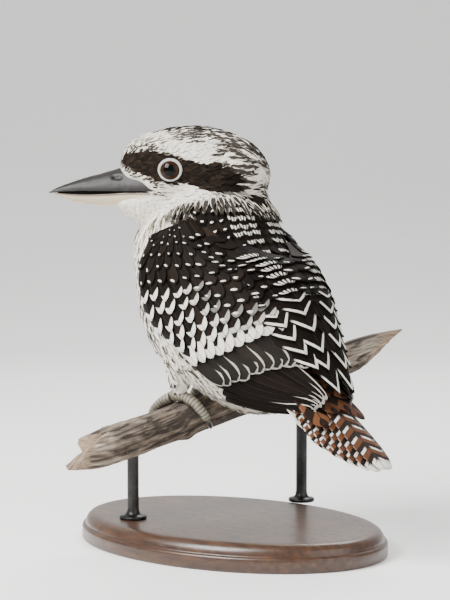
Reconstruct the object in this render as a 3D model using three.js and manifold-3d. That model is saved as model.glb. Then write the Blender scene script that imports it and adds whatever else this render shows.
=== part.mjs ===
// A life-size laughing kookaburra that looks over its left shoulder from a cut length of branch,
// held over a flat oval base by two short rods. Millimetres, +Z up. The body points along -X, its
// left side is -Y, and the origin is the middle of the base's underside.
import * as THREE from "three";
import { mergeVertices } from "three/addons/utils/BufferGeometryUtils.js";
import Module from "manifold-3d";

const wasm = await Module();
wasm.setup();

// Driving dimensions
const GAP = 0.3; // between pieces that touch
const PERCH_TOP = new THREE.Vector3(-34, 4, 102); // top of the branch between the feet
const HEAD_TURN = 40; // degrees, towards the bird's left
const HEAD_CENTRE = [2, -5, 155];
const BILL_LENGTH = 57; // along the ridge, from the forehead
const EYE_RADIUS = 9;
const TAIL_LENGTH = 146;
const TAIL_HIDDEN = 62; // the part of it inside the rump
const BRANCH_RADIUS = 13.5;
const BRANCH_TURN = 70; // degrees from +X towards +Y, seen from above
const BRANCH_RISE = 12.5; // degrees
const BRANCH_REACH = [-96, 160]; // ends, measured along the branch from between the feet
const FOOT_SPREAD = 17; // from the middle to each foot, along the branch
const BASE_SIZE = { long: 236, wide: 168, thick: 18, bevel: 3 };
const ROD = { radius: 4, places: [-58, 84] };

const rad = THREE.MathUtils.degToRad;
const V = (x, y, z) => new THREE.Vector3(x, y, z);
const mix = THREE.MathUtils.lerp;

// Solids from closed meshes, and meshes from solids
function solid(geometry) {
  const bare = geometry.clone();
  for (const name of Object.keys(bare.attributes))
    if (name !== "position") bare.deleteAttribute(name);
  const merged = mergeVertices(bare, 1e-4);
  return new wasm.Manifold(
    new wasm.Mesh({
      numProp: 3,
      vertProperties: new Float32Array(merged.attributes.position.array),
      triVerts: new Uint32Array(merged.index.array),
    }),
  );
}

function largest(shape) {
  return shape.decompose().reduce((a, b) => (b.volume() > a.volume() ? b : a));
}

const fuse = (pieces) => largest(wasm.Manifold.union(pieces));

function mesh(name, shape, material) {
  const made = shape.getMesh();
  const geometry = new THREE.BufferGeometry();
  const position = new Float32Array(made.numVert * 3);
  for (let i = 0; i < made.numVert; i++)
    for (let k = 0; k < 3; k++)
      position[3 * i + k] = made.vertProperties[made.numProp * i + k];
  geometry.setAttribute("position", new THREE.BufferAttribute(position, 3));
  geometry.setIndex([...made.triVerts]);
  geometry.computeVertexNormals();
  const piece = new THREE.Mesh(geometry, material);
  piece.name = name;
  return piece;
}

// A smooth curve through values at evenly spaced places from 0 to 1
function through(values) {
  const last = values.length - 1;
  const slope = values.map(
    (_, i) =>
      (values[Math.min(last, i + 1)] - values[Math.max(0, i - 1)]) /
      (Math.min(last, i + 1) - Math.max(0, i - 1)),
  );
  return (t) => {
    const at = THREE.MathUtils.clamp(t, 0, 1) * last;
    const i = Math.min(last - 1, Math.floor(at));
    const u = at - i;
    const rest = 1 - u;
    return (
      values[i] * (1 + 2 * u) * rest * rest +
      slope[i] * u * rest * rest +
      values[i + 1] * u * u * (3 - 2 * u) -
      slope[i + 1] * u * u * rest
    );
  };
}

// A body of oval sections along a line in the XZ plane that runs from front to back. Each station
// is [x, z, depth on the upper side, depth on the lower side, half width]. The angle round it is
// 0 on top, 90 on the left side and 180 underneath, and lift is the height above its surface.
function barrel(stations, power = 2) {
  const [x, z, above, below, wide] = [0, 1, 2, 3, 4].map((k) => through(stations.map((s) => s[k])));
  const step = 1e-3;
  const bend = (v) => Math.sign(v) * Math.abs(v) ** (2 / power);
  return (t, degrees, lift = 0) => {
    const [a, b] = [Math.max(0, t - step), Math.min(1, t + step)];
    const along = V(x(b) - x(a), 0, z(b) - z(a)).normalize();
    const up = V(-along.z, 0, along.x);
    const c = bend(Math.cos(rad(degrees)));
    const s = bend(Math.sin(rad(degrees)));
    const depth = (c > 0 ? above(t) : below(t)) + lift;
    return V(x(t), 0, z(t))
      .addScaledVector(up, c * depth)
      .addScaledVector(V(0, -1, 0), s * (wide(t) + lift));
  };
}

// A closed surface through rings of equal count, with a flat or pointed cap at each end
function loft(rings) {
  const sides = rings[0].length;
  const points = rings.flat();
  const ends = [rings[0], rings[rings.length - 1]].map((ring) => {
    const middle = ring.reduce((sum, p) => sum.add(p), V(0, 0, 0)).divideScalar(sides);
    return points.push(middle) - 1;
  });
  const index = [];
  for (let r = 0; r + 1 < rings.length; r++)
    for (let i = 0; i < sides; i++) {
      const [a, b] = [r * sides + i, r * sides + ((i + 1) % sides)];
      index.push(a, b, a + sides, b, b + sides, a + sides);
    }
  const lastRing = (rings.length - 1) * sides;
  for (let i = 0; i < sides; i++) {
    const j = (i + 1) % sides;
    index.push(ends[0], j, i, ends[1], lastRing + i, lastRing + j);
  }
  const geometry = new THREE.BufferGeometry().setFromPoints(points);
  geometry.setIndex(index);
  return facingOut(geometry);
}

function facingOut(geometry) {
  const made = solid(geometry);
  if (made.volume() > 0) return made;
  const turned = geometry.clone();
  turned.setIndex([...geometry.index.array].reverse());
  return solid(turned);
}

const range = (count) => Array.from({ length: count }, (_, i) => i);

function barrelSolid(surface, { from = 0, to = 1, rings, sides, grow = 0 }) {
  return loft(
    range(rings + 1).map((r) =>
      range(sides).map((i) => surface(mix(from, to, r / rings), (360 * i) / sides, grow)),
    ),
  );
}

// A tube along points, with a radius at each
function tube(points, radii, sides) {
  const curve = new THREE.CatmullRomCurve3(points);
  const count = radii.length - 1;
  const frames = curve.computeFrenetFrames(count);
  return loft(
    range(count + 1).map((r) => {
      const centre = curve.getPointAt(r / count);
      return range(sides).map((i) => {
        const turn = (2 * Math.PI * i) / sides;
        return centre
          .clone()
          .addScaledVector(frames.normals[r], Math.cos(turn) * radii[r])
          .addScaledVector(frames.binormals[r], Math.sin(turn) * radii[r]);
      });
    }),
  );
}

// A feather vane: a thin closed blade, laid by place(along, across, lift), with the same triangles
// on both faces. Its outline is narrow at the root, widest past the middle and round at the tip.
function vane(place, { rows, columns = 1, thickness, root = 0.5, tip = 0.3 }) {
  const widest = 0.75;
  const outline = (v) =>
    v < widest
      ? mix(root, 1, Math.sin(((v / widest) * Math.PI) / 2))
      : mix(1, tip, ((v - widest) / (1 - widest)) ** 2.2);
  const points = [];
  for (const face of [0.5, -0.5])
    for (let r = 0; r <= rows; r++) {
      const v = 1 - (1 - r / rows) ** 1.35;
      for (let c = 0; c <= columns; c++)
        points.push(place(v, (2 * c) / columns - 1, face * thickness, outline(v)));
    }
  const line = columns + 1;
  const face = (rows + 1) * line;
  const index = [];
  for (let r = 0; r < rows; r++)
    for (let c = 0; c < columns; c++) {
      const a = r * line + c;
      index.push(a, a + 1, a + line, a + 1, a + line + 1, a + line);
      index.push(face + a, face + a + line, face + a + 1);
      index.push(face + a + 1, face + a + line, face + a + line + 1);
    }
  const rim = [
    ...range(columns + 1),
    ...range(rows).map((r) => (r + 1) * line + columns),
    ...range(columns).map((c) => rows * line + columns - 1 - c),
    ...range(rows - 1).map((r) => (rows - 1 - r) * line),
  ];
  rim.forEach((a, i) => {
    const b = rim[(i + 1) % rim.length];
    index.push(a, face + a, b, b, face + a, face + b);
  });
  const geometry = new THREE.BufferGeometry().setFromPoints(points);
  geometry.setIndex(index);
  return facingOut(geometry);
}

// Torso and neck, from inside the head down to the tail's root
const TORSO = barrel(
  [
    [10, 163, 22, 22, 20],
    [9, 141, 34, 39, 31],
    [12, 119, 42, 60, 45],
    [20, 95, 46, 66, 49],
    [29, 70, 55, 70, 51],
    [45, 47, 50, 60, 47],
    [62, 29, 40, 48, 38],
    [79, 17, 28, 32, 27],
    [94, 9, 13, 13, 17],
  ],
  2.15,
);
const NECK_CUT = 0.28; // place along the torso where the neck ends

function torsoForm(grow = 0, from = NECK_CUT) {
  return barrelSolid(TORSO, { from, to: 1, rings: 15, sides: 22, grow });
}

// The head is shaped facing -X about its own centre, then turned to its left
const HEAD = barrel(
  [
    [-46, -7, 12, 14, 12],
    [-38, -1, 20, 24, 18.5],
    [-27, 0, 27, 28, 23.5],
    [-13, 0, 31.5, 31, 27],
    [2, 0, 32.2, 33, 29],
    [16, -1, 30, 33.5, 29.5],
    [29, -3, 25, 32, 27.5],
    [40, -6, 17, 26, 21],
    [46.5, -9, 7, 13, 10],
  ],
  2.1,
);
const headPlace = new THREE.Matrix4()
  .makeTranslation(...HEAD_CENTRE)
  .multiply(new THREE.Matrix4().makeRotationZ(rad(HEAD_TURN)));
const turnWithHead = (shape) => shape.transform([...headPlace.elements]);

const MOUTH = -13.5; // height of the line of the mouth, from the head's centre
const BILL_ROOT = -44; // where the ridge leaves the forehead
const BILL_TIP = BILL_ROOT - BILL_LENGTH;

const UPPER_BILL = barrel(
  [
    [BILL_TIP, -14.8, 0.5, 0.4, 0.4],
    [mix(BILL_TIP, BILL_ROOT, 0.14), MOUTH - 0.5, 3.6, 0.5, 3.1],
    [mix(BILL_TIP, BILL_ROOT, 0.38), MOUTH, 8, 0.6, 6],
    [mix(BILL_TIP, BILL_ROOT, 0.62), MOUTH, 11.8, 0.7, 8.8],
    [mix(BILL_TIP, BILL_ROOT, 0.84), MOUTH, 15.4, 0.7, 11.6],
    [BILL_ROOT, MOUTH, 18.2, 0.7, 14],
    [BILL_ROOT + 9, MOUTH, 20.5, 0.7, 16.6],
    [BILL_ROOT + 18, MOUTH, 22, 0.7, 19],
  ],
  1.75,
);
const LOWER_BILL = barrel(
  [
    [BILL_TIP + 4, MOUTH - 1.6, 0.2, 0.7, 0.8],
    [mix(BILL_TIP, BILL_ROOT, 0.24), MOUTH - 2.6, 0.6, 4.2, 4],
    [mix(BILL_TIP, BILL_ROOT, 0.45), MOUTH - 2.9, 0.6, 6.6, 6.2],
    [mix(BILL_TIP, BILL_ROOT, 0.68), MOUTH - 2.4, 0.6, 8.4, 8.8],
    [mix(BILL_TIP, BILL_ROOT, 0.9), MOUTH - 1.5, 0.6, 9.6, 11.6],
    [BILL_ROOT + 4, MOUTH - 1.2, 0.1, 10, 14.2],
    [BILL_ROOT + 14, MOUTH - 1.2, 0.1, 9.6, 17],
  ],
  1.9,
);

function headForm(grow = 0) {
  return barrelSolid(HEAD, { rings: 13, sides: 20, grow });
}

const EYE_PLACE = { x: -16, side: 20.4, z: 1 };
const eyeCentre = (side) => V(EYE_PLACE.x, side * EYE_PLACE.side, EYE_PLACE.z);

function ball(centre, radius, around, over) {
  const shape = new THREE.SphereGeometry(radius, around, over);
  shape.rotateX(Math.PI / 2).translate(centre.x, centre.y, centre.z);
  return facingOut(shape);
}

// The rim of bare lid that rings each eye
function lids(side) {
  const ring = new THREE.TorusGeometry(6.9, 1.1, 4, 14);
  ring.rotateX(Math.PI / 2).translate(0, side * 5.6, 0);
  ring.rotateZ(rad(side * -7)).translate(...eyeCentre(side).toArray());
  return facingOut(ring);
}

// Loose feathers that stand off the back of the crown and the nape, in three rows
function crest(grow = 0) {
  const rowsOfCrest = [
    { at: 0.62, count: 4, length: 0.24, rise: 2.6 },
    { at: 0.78, count: 5, length: 0.24, rise: 3.2 },
  ];
  return rowsOfCrest.flatMap(({ at, count, length, rise }) =>
    range(count).map((i) => {
      const angle = mix(-62, 62, i / (count - 1));
      const reach = length * (1 - 0.12 * Math.cos(i * 2.4));
      return vane(
        (along, across, thick, width) => {
          const t = at + reach * along;
          const spread = ((width * 5.4 * (1 - 0.55 * along) + grow) * across) / 25;
          const off = mix(-1.8, rise, along) + thick;
          const point = HEAD(Math.min(t, 1), angle + (spread * 180) / Math.PI, off);
          return t > 1 ? point.add(V((t - 1) * 88, 0, -(t - 1) * 30)) : point;
        },
        { rows: 3, thickness: 1.1 + 2 * grow, root: 0.8, tip: 0.25 },
      );
    }),
  );
}

function head() {
  const plain = fuse([headForm(), ...[-1, 1].map(lids), ...crest()]);
  const sockets = [-1, 1].map((side) => ball(eyeCentre(side), EYE_RADIUS + GAP, 14, 8));
  return largest(plain.subtract(wasm.Manifold.union(sockets)));
}

// The head grown by the gap on every side, to cut what meets it
function headClear() {
  const grown = headForm(GAP + 0.1);
  const shifted = [-2, 2].map((x) => grown.translate([x * GAP, 0, 0]));
  return wasm.Manifold.union([grown, ...shifted, ...crest(GAP + 0.1)]);
}

function upperBill() {
  const whole = barrelSolid(UPPER_BILL, { rings: 10, sides: 14 });
  const nostrils = [-1, 1].map((side) => {
    const slit = new THREE.SphereGeometry(1, 10, 6);
    slit.scale(3.2, 2.2, 1.1).rotateY(rad(14)).translate(BILL_ROOT - 9.5, side * 9.9, MOUTH + 9.3);
    return facingOut(slit);
  });
  return largest(whole.subtract(wasm.Manifold.union([headClear(), ...nostrils])));
}

function lowerBill() {
  const whole = barrelSolid(LOWER_BILL, { rings: 10, sides: 14 });
  const above = barrelSolid(UPPER_BILL, { rings: 10, sides: 14, grow: GAP });
  return largest(whole.subtract(wasm.Manifold.union([headClear(), above])));
}

function neck() {
  const whole = barrelSolid(TORSO, { from: 0.02, to: NECK_CUT - 0.0018, rings: 5, sides: 22 });
  const chin = barrelSolid(LOWER_BILL, { rings: 10, sides: 14, grow: GAP });
  return largest(whole.subtract(turnWithHead(headClear().add(chin))));
}

// The outer surface of the folded wings, from the shoulder to the wing tips
const CLOAK = barrel(
  [
    [12, 117, 39, 63, 49],
    [20, 95, 50, 73, 56.5],
    [31, 71, 59, 74, 57.5],
    [46, 50, 60, 66, 55.5],
    [63, 31, 57, 56, 50],
    [82, 16, 47, 40, 41],
    [102, 3, 33, 26, 30],
    [122, -9, 17, 12, 19],
  ],
  2.1,
);
// Edges of the folded wing, in degrees round the cloak: the back's side and the belly's side
const WING_TOP = through([52, 34, 17, 9, 7, 6, 8, 14]);
const WING_EDGE = through([103, 113, 115, 117, 118, 115, 98, 62]);
const wingAngle = (s, t) => mix(WING_TOP(s), WING_EDGE(s), t);

// The plate that carries the wing's feathers, hollowed by the torso
function wingPlate() {
  const end = 0.6;
  const depth = (s, t) => {
    const edge = Math.min(1, 5 * Math.min(t, 1 - t) + 0.22);
    const taper = Math.min(1, 3 * s + 0.35) * Math.min(1, (end - s) / 0.12 + 0.2);
    return Math.max(1.2, 7 * edge * taper);
  };
  const place = (along, across, face) => {
    const [s, t] = [end * along, (across + 1) / 2];
    return CLOAK(s, wingAngle(s, t), 0.3 - (face < 0 ? depth(s, t) : 0));
  };
  return vane(place, { rows: 9, columns: 9, thickness: 1 });
}

// A wing feather from [s, t] at its root to [s, t] at its tip, both on the cloak
function wingVane({ root, tip, width, lift, tilt = 0.7, rows = 3, thickness = 0.8, blunt = 0.3 }) {
  return vane(
    (along, across, thick, share) => {
      const s = mix(root[0], tip[0], along);
      const angle = wingAngle(s, mix(root[1], tip[1], along));
      const middle = CLOAK(s, angle);
      const radius = Math.hypot(middle.y, 30);
      const spread = (across * share * width * 90) / (Math.PI * radius);
      const rise = mix(...lift, along) - tilt * across;
      return CLOAK(s, angle + spread, rise + thick);
    },
    { rows, thickness, root: 0.7, tip: blunt },
  );
}

// Each tier of the folded wing: where its roots and tips lie on the back's side and on the belly's
// side, its feathers' width, and how high they stand at root and tip
const TIERS = [
  { count: 6, roots: [0.38, 0.24], tips: [0.54, 0.38], width: 18.5, lift: [-1.3, 2.6] },
  { count: 6, roots: [0.5, 0.36], tips: [0.66, 0.5], width: 18.5, lift: [-1.3, 2] },
  { count: 6, roots: [0.58, 0.46], tips: [0.82, 0.64], width: 19.5, lift: [-1.3, 1.2] },
];

const TIER_ACROSS = [0.33, 0.95]; // from the shoulder feathers to the lower edge

function tierVanes({ count, roots, tips, width, lift }) {
  return range(count).map((i) => {
    const f = i / (count - 1);
    const t = mix(...TIER_ACROSS, f);
    return wingVane({
      root: [mix(...roots, f), t],
      tip: [mix(...tips, f), t],
      width,
      lift,
    });
  });
}

// Long flight feathers, whose tips step back along the lower edge to the point of the wing
function primaries() {
  const count = 5;
  return range(count).map((i) => {
    const f = i / (count - 1);
    return wingVane({
      root: [0.46, mix(0.62, 0.93, f)],
      tip: [mix(0.84, 1, Math.sin(f * 2.4)), mix(0.42, 0.8, f)],
      width: 15,
      lift: [-2.4, -1.1],
      blunt: 0.2,
    });
  });
}

// Broad shoulder and inner flight feathers that overlap down the back, beside the middle
function scapulars() {
  const rowsOf = [
    { count: 3, from: 0.28, to: 0.6, t: 0.2, width: 20, lift: [-1.3, 3.4] },
    { count: 4, from: 0.32, to: 0.75, t: 0.06, width: 19, lift: [-1.3, 3.4] },
  ];
  return rowsOf.flatMap(({ count, from, to, t, width, lift }) =>
    range(count).map((i) => {
      const s = mix(from, to, i / (count - 1));
      return wingVane({
        root: [s - 0.1, t],
        tip: [s + 0.13, t],
        width,
        lift,
      });
    }),
  );
}

function wing() {
  const whole = fuse([wingPlate(), ...TIERS.flatMap(tierVanes), ...primaries(), ...scapulars()]);
  const beyondMiddle = wasm.Manifold.union([
    torsoForm(GAP, 0.1),
    turnWithHead(headForm(GAP + 1)),
    facingOut(new THREE.BoxGeometry(400, 100, 400).translate(0, 50 - GAP, 0)),
  ]);
  return largest(whole.subtract(beyondMiddle));
}

// Tail: a wedge of coverts that carries twelve feathers, stepped one under another
const TAIL_ROOT = V(97, 0, 16);
const TAIL_FALL = rad(41);
const tailAlong = V(Math.cos(TAIL_FALL), 0, -Math.sin(TAIL_FALL));
const tailUp = V(Math.sin(TAIL_FALL), 0, Math.cos(TAIL_FALL));
const TAIL_SHOWS = TAIL_LENGTH - TAIL_HIDDEN;

function onTail(along, side, lift) {
  return TAIL_ROOT.clone()
    .addScaledVector(tailAlong, along)
    .addScaledVector(V(0, -1, 0), side)
    .addScaledVector(tailUp, lift);
}

function tail() {
  const pairs = 6;
  const step = 1.25;
  const feathers = range(pairs).flatMap((i) =>
    [1, -1].map((side) => {
      const level = i === 0 && side < 0 ? step : step * (i + (i > 0 ? 1 : 0));
      const fan = rad(0.9 + i);
      const reach = TAIL_SHOWS - 1.15 * i * i;
      return vane(
        (along, across, thick, share) => {
          const far = mix(-6, reach, along);
          const out = side * ((far + TAIL_HIDDEN) * Math.tan(fan) + 1.7 * i) + across * share * 11.5;
          return onTail(far, out, 3.4 - level - 0.004 * out * out + thick);
        },
        { rows: 3, thickness: 0.85, root: 0.7, tip: 0.4 },
      );
    }),
  );
  const coverts = loft(
    range(6).map((r) => {
      const f = r / 5;
      return range(12).map((i) => {
        const turn = (2 * Math.PI * i) / 12;
        return onTail(
          mix(-1, 40, f),
          Math.cos(turn) * mix(17, 13, f),
          -0.6 + Math.sin(turn) * mix(8.5, 2.2, f ** 0.8),
        );
      });
    }),
  );
  return largest(fuse([coverts, ...feathers]).subtract(torsoForm(GAP)));
}

// Branch: its own line runs through the perch, and it is thickest left of the feet
const branchAlong = V(
  Math.cos(rad(BRANCH_TURN)) * Math.cos(rad(BRANCH_RISE)),
  Math.sin(rad(BRANCH_TURN)) * Math.cos(rad(BRANCH_RISE)),
  Math.sin(rad(BRANCH_RISE)),
);
const branchFront = V(0, 0, 1).cross(branchAlong).normalize(); // level, towards the bird's front
const branchUp = branchAlong.clone().cross(branchFront).normalize();
const branchBend = (d) => 3.2 * Math.sin(d / 46 + 0.5) - 3.2 * Math.sin(0.5) + 0.00035 * d * d;
const branchRadius = (d) =>
  BRANCH_RADIUS * (1 + 0.05 * Math.sin(d / 19)) - d * d * (d > 0 ? 0.00012 : 0.00006);

function onBranch(d, degrees, out) {
  const radius = branchRadius(d) + out;
  return branchAlong
    .clone()
    .multiplyScalar(d)
    .addScaledVector(branchUp, branchBend(d) - branchRadius(0) + Math.cos(rad(degrees)) * radius)
    .addScaledVector(branchFront, Math.sin(rad(degrees)) * radius);
}

// Both ends were snapped off, so their rims are slanted
function branch(grow = 0) {
  const rings = 18;
  const slant = (f, degrees) =>
    9 * Math.max(0, 1 - f / 0.12) * Math.cos(rad(degrees)) +
    17 * Math.max(0, (f - 0.86) / 0.14) * Math.cos(rad(degrees - 20));
  return loft(
    range(rings + 1).map((r) => {
      const f = r / rings;
      const taper = -4.5 * Math.max(0, (f - 0.86) / 0.14) ** 2 - 3 * Math.max(0, 1 - f / 0.1) ** 2;
      return range(12).map((i) => {
        const turn = (360 * i) / 12;
        const rough = 0.5 * Math.sin(turn * 0.05 + 9 * f) + 0.4 * Math.cos(rad(3 * turn) + 14 * f);
        return onBranch(mix(...BRANCH_REACH, f) + slant(f, turn), turn, taper + rough + grow);
      });
    }),
  );
}

// Feathered thighs, which bulge from the belly above each foot
function thigh(side, grow = 0) {
  const foot = onBranch(-side * FOOT_SPREAD, 4, 0);
  const hip = V(16, -side * 24, 40);
  const line = [hip, hip.clone().lerp(foot, 0.5).add(V(-3, 0, 0)), foot.clone().add(V(2.5, 0, 7))];
  return tube(line, [16, 16, 15, 12.5, 10, 8, 6.4].map((radius) => radius + grow), 14);
}

const belly = (grow) => wasm.Manifold.union([torsoForm(grow), thigh(1, grow), thigh(-1, grow)]);
const torso = () => largest(belly(0).subtract(branch(1.2)));

// Feet, whose toes lie slantwise round the branch
const SLANT = 0.11; // mm along the branch for each degree round it

// Toes: degrees round the branch at root and tip, distance along it, radius at root and tip
const TOES = {
  inner: { turn: [8, 82], shift: 6.8, radius: [3.5, 2.8] },
  middle: { turn: [8, 108], shift: 0.2, radius: [3.8, 2.9] },
  outer: { turn: [8, 98], shift: -6.6, radius: [3.6, 2.8] },
  hind: { turn: [4, -96], shift: 0.6, radius: [4, 3] },
};

function toePoint(side, toe, f) {
  const turn = mix(...toe.turn, f);
  const spread = toe.shift * Math.min(1, 0.35 + 1.3 * f) * side;
  const radius = mix(...toe.radius, f);
  return onBranch(-side * FOOT_SPREAD + spread - SLANT * turn, turn, radius + 0.7);
}

function foot(side) {
  const toes = Object.values(TOES).map((toe) => {
    const rings = 4;
    const line = range(rings + 1).map((i) => toePoint(side, toe, i / rings));
    const radii = range(rings + 1).map(
      (i) => mix(...toe.radius, i / rings) * (1 + 0.07 * Math.cos(i * Math.PI)),
    );
    return tube(line, radii, 6);
  });
  const root = onBranch(-side * FOOT_SPREAD, 5, 4);
  const ankle = root.clone().add(V(2.5, 0, 9));
  const shank = tube([ankle, root.clone().lerp(ankle, 0.5), root], [3, 3, 3.2, 4], 8);
  const whole = fuse([shank, ball(root, 4.6, 8, 6), ...toes]);
  return largest(whole.subtract(wasm.Manifold.union([branch(GAP), belly(GAP)])));
}

// Curved claw that carries on from a toe's end
function claw(side, toe) {
  const steps = 3;
  const turnEnd = toe.turn[1] + Math.sign(toe.turn[1]) * 34;
  const turns = [toe.turn[1] + 3 * Math.sign(toe.turn[1]), turnEnd];
  const radii = [toe.radius[1] * 0.72, 0.35];
  const line = range(steps + 1).map((i) => {
    const f = i / steps;
    const turn = mix(...turns, f);
    const along = -side * FOOT_SPREAD + toe.shift * side - SLANT * turn;
    return onBranch(along, turn, toe.radius[1] + 0.9 + 1.2 * Math.sin(f * Math.PI) - 1.2 * f);
  });
  return tube(line, range(steps + 1).map((i) => mix(...radii, i / steps)), 5);
}

// Stand: an oval board with a bevelled rim, and two rods that reach the branch's underside
const floorLevel = -PERCH_TOP.z;

function base() {
  const sides = 44;
  const { long, wide, thick, bevel } = BASE_SIZE;
  const levels = [
    [0, 1.2],
    [1.2, 0],
    [thick - bevel, 0],
    [thick, bevel],
  ];
  return loft(
    levels.map(([height, inset]) =>
      range(sides).map((i) => {
        const turn = (2 * Math.PI * i) / sides;
        return V(Math.cos(turn) * (long / 2 - inset), Math.sin(turn) * (wide / 2 - inset), height);
      }),
    ),
  );
}

function rod(place) {
  const under = onBranch(place, 180, -6);
  const height = under.z - floorLevel - BASE_SIZE.thick;
  const post = new THREE.CylinderGeometry(ROD.radius, ROD.radius, height, 20);
  post.rotateX(Math.PI / 2).translate(under.x, under.y, under.z - height / 2 + GAP);
  return largest(facingOut(post).subtract(branch(GAP)));
}

// Finishes
const finish = (color, roughness, metalness = 0) => new THREE.MeshStandardMaterial({ color, roughness, metalness });
const whitePlumage = finish(0xe9e2d3, 0.9);
const brownPlumage = finish(0x4a3526, 0.85);
const tailPlumage = finish(0x8f4f2b, 0.85);
const darkHorn = finish(0x26221f, 0.35);
const paleHorn = finish(0xcdb78f, 0.4);
const eyeDark = finish(0x2a160c, 0.05);
const scaledSkin = finish(0x8b8672, 0.6);
const bark = finish(0x8a7a68, 0.9);
const stainedWood = finish(0x3c2415, 0.4);
const steel = finish(0x2c2c2e, 0.35, 0.9);

// The whole: bird and branch about the perch, stand about the base's own middle
const kookaburra = new THREE.Group();
const bird = new THREE.Group();
bird.position.copy(PERCH_TOP);
kookaburra.add(bird);

const headGroup = new THREE.Group();
headGroup.applyMatrix4(headPlace);
bird.add(headGroup);
headGroup.add(mesh("head", head(), whitePlumage));
headGroup.add(mesh("bill_upper", upperBill(), darkHorn));
headGroup.add(mesh("bill_lower", lowerBill(), paleHorn));
headGroup.add(mesh("eye_left", ball(eyeCentre(-1), EYE_RADIUS, 14, 8), eyeDark));
headGroup.add(mesh("eye_right", ball(eyeCentre(1), EYE_RADIUS, 14, 8), eyeDark));

bird.add(mesh("neck", neck(), whitePlumage));
bird.add(mesh("torso", torso(), whitePlumage));
bird.add(mesh("tail", tail(), tailPlumage));
const leftWing = wing();
bird.add(mesh("wing_left", leftWing, brownPlumage));
bird.add(mesh("wing_right", leftWing.mirror([0, 1, 0]), brownPlumage));

for (const [name, side] of [
  ["left", 1],
  ["right", -1],
]) {
  bird.add(mesh(`foot_${name}`, foot(side), scaledSkin));
  for (const [toeName, toe] of Object.entries(TOES))
    bird.add(mesh(`claw_${name}_${toeName}`, claw(side, toe), darkHorn));
}

bird.add(mesh("perch_branch", branch(), bark));
const stand = new THREE.Group();
kookaburra.add(stand);
stand.add(mesh("stand_base", base(), stainedWood));
bird.add(mesh("stand_rod_left", rod(ROD.places[0]), steel));
bird.add(mesh("stand_rod_right", rod(ROD.places[1]), steel));

export default kookaburra;
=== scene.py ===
import bpy
import numpy as np
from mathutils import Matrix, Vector
from mathutils.bvhtree import BVHTree
from mathutils.kdtree import KDTree


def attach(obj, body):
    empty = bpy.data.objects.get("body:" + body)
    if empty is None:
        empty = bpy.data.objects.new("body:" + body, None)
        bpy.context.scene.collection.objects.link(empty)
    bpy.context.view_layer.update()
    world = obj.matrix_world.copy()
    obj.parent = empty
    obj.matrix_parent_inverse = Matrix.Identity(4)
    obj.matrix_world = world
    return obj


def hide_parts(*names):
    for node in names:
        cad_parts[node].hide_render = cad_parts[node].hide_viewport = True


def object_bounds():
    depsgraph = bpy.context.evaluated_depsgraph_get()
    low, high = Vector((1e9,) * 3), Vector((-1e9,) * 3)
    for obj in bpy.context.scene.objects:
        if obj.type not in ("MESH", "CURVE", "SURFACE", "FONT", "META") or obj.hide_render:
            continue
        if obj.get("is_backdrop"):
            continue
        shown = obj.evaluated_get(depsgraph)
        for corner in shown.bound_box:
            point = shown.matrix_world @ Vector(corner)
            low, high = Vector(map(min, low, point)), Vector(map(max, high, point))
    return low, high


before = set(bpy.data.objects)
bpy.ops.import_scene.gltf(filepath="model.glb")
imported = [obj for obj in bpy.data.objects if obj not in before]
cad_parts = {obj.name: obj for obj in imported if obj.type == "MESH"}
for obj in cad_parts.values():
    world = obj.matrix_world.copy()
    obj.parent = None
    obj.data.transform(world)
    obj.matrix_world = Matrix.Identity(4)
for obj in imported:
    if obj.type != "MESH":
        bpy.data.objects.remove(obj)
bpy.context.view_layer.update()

# Viewpoint: behind the bird's left shoulder, just above the level of the branch, far enough off
# and through a long enough lens that the bird is seen almost without perspective.
MM = 0.001
PERCH = np.array([-34.0, 4.0, 102.0])  # top of the branch between the feet
VIEW_TURN, VIEW_RISE = np.radians([40.0, 4.5])
LENS, SENSOR, DISTANCE = 120.0, 36.0, 1400.0
AIM_RIGHT, AIM_UP = 18.9, 65.0  # middle of the picture from the perch


def toward(turn, rise):
    """The direction to an eye or a lamp, turned from the -Y side and raised."""
    return np.array([np.sin(turn) * np.cos(rise), -np.cos(turn) * np.cos(rise), np.sin(rise)])


def placed(name, data):
    """A new object in the scene."""
    made = bpy.data.objects.new(name, data)
    bpy.context.scene.collection.objects.link(made)
    return made


view_right = np.array([np.cos(VIEW_TURN), np.sin(VIEW_TURN), 0.0])
view_back = toward(VIEW_TURN, VIEW_RISE)
aim = PERCH + AIM_RIGHT * view_right + AIM_UP * np.cross(view_back, view_right)
camera = placed("camera", bpy.data.cameras.new("camera"))
camera.data.lens, camera.data.sensor_width = LENS, SENSOR
camera.location = (aim + DISTANCE * view_back) * MM
camera.rotation_euler = Vector(view_back).to_track_quat("Z", "Y").to_euler()
bpy.context.scene.camera = camera


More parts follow.
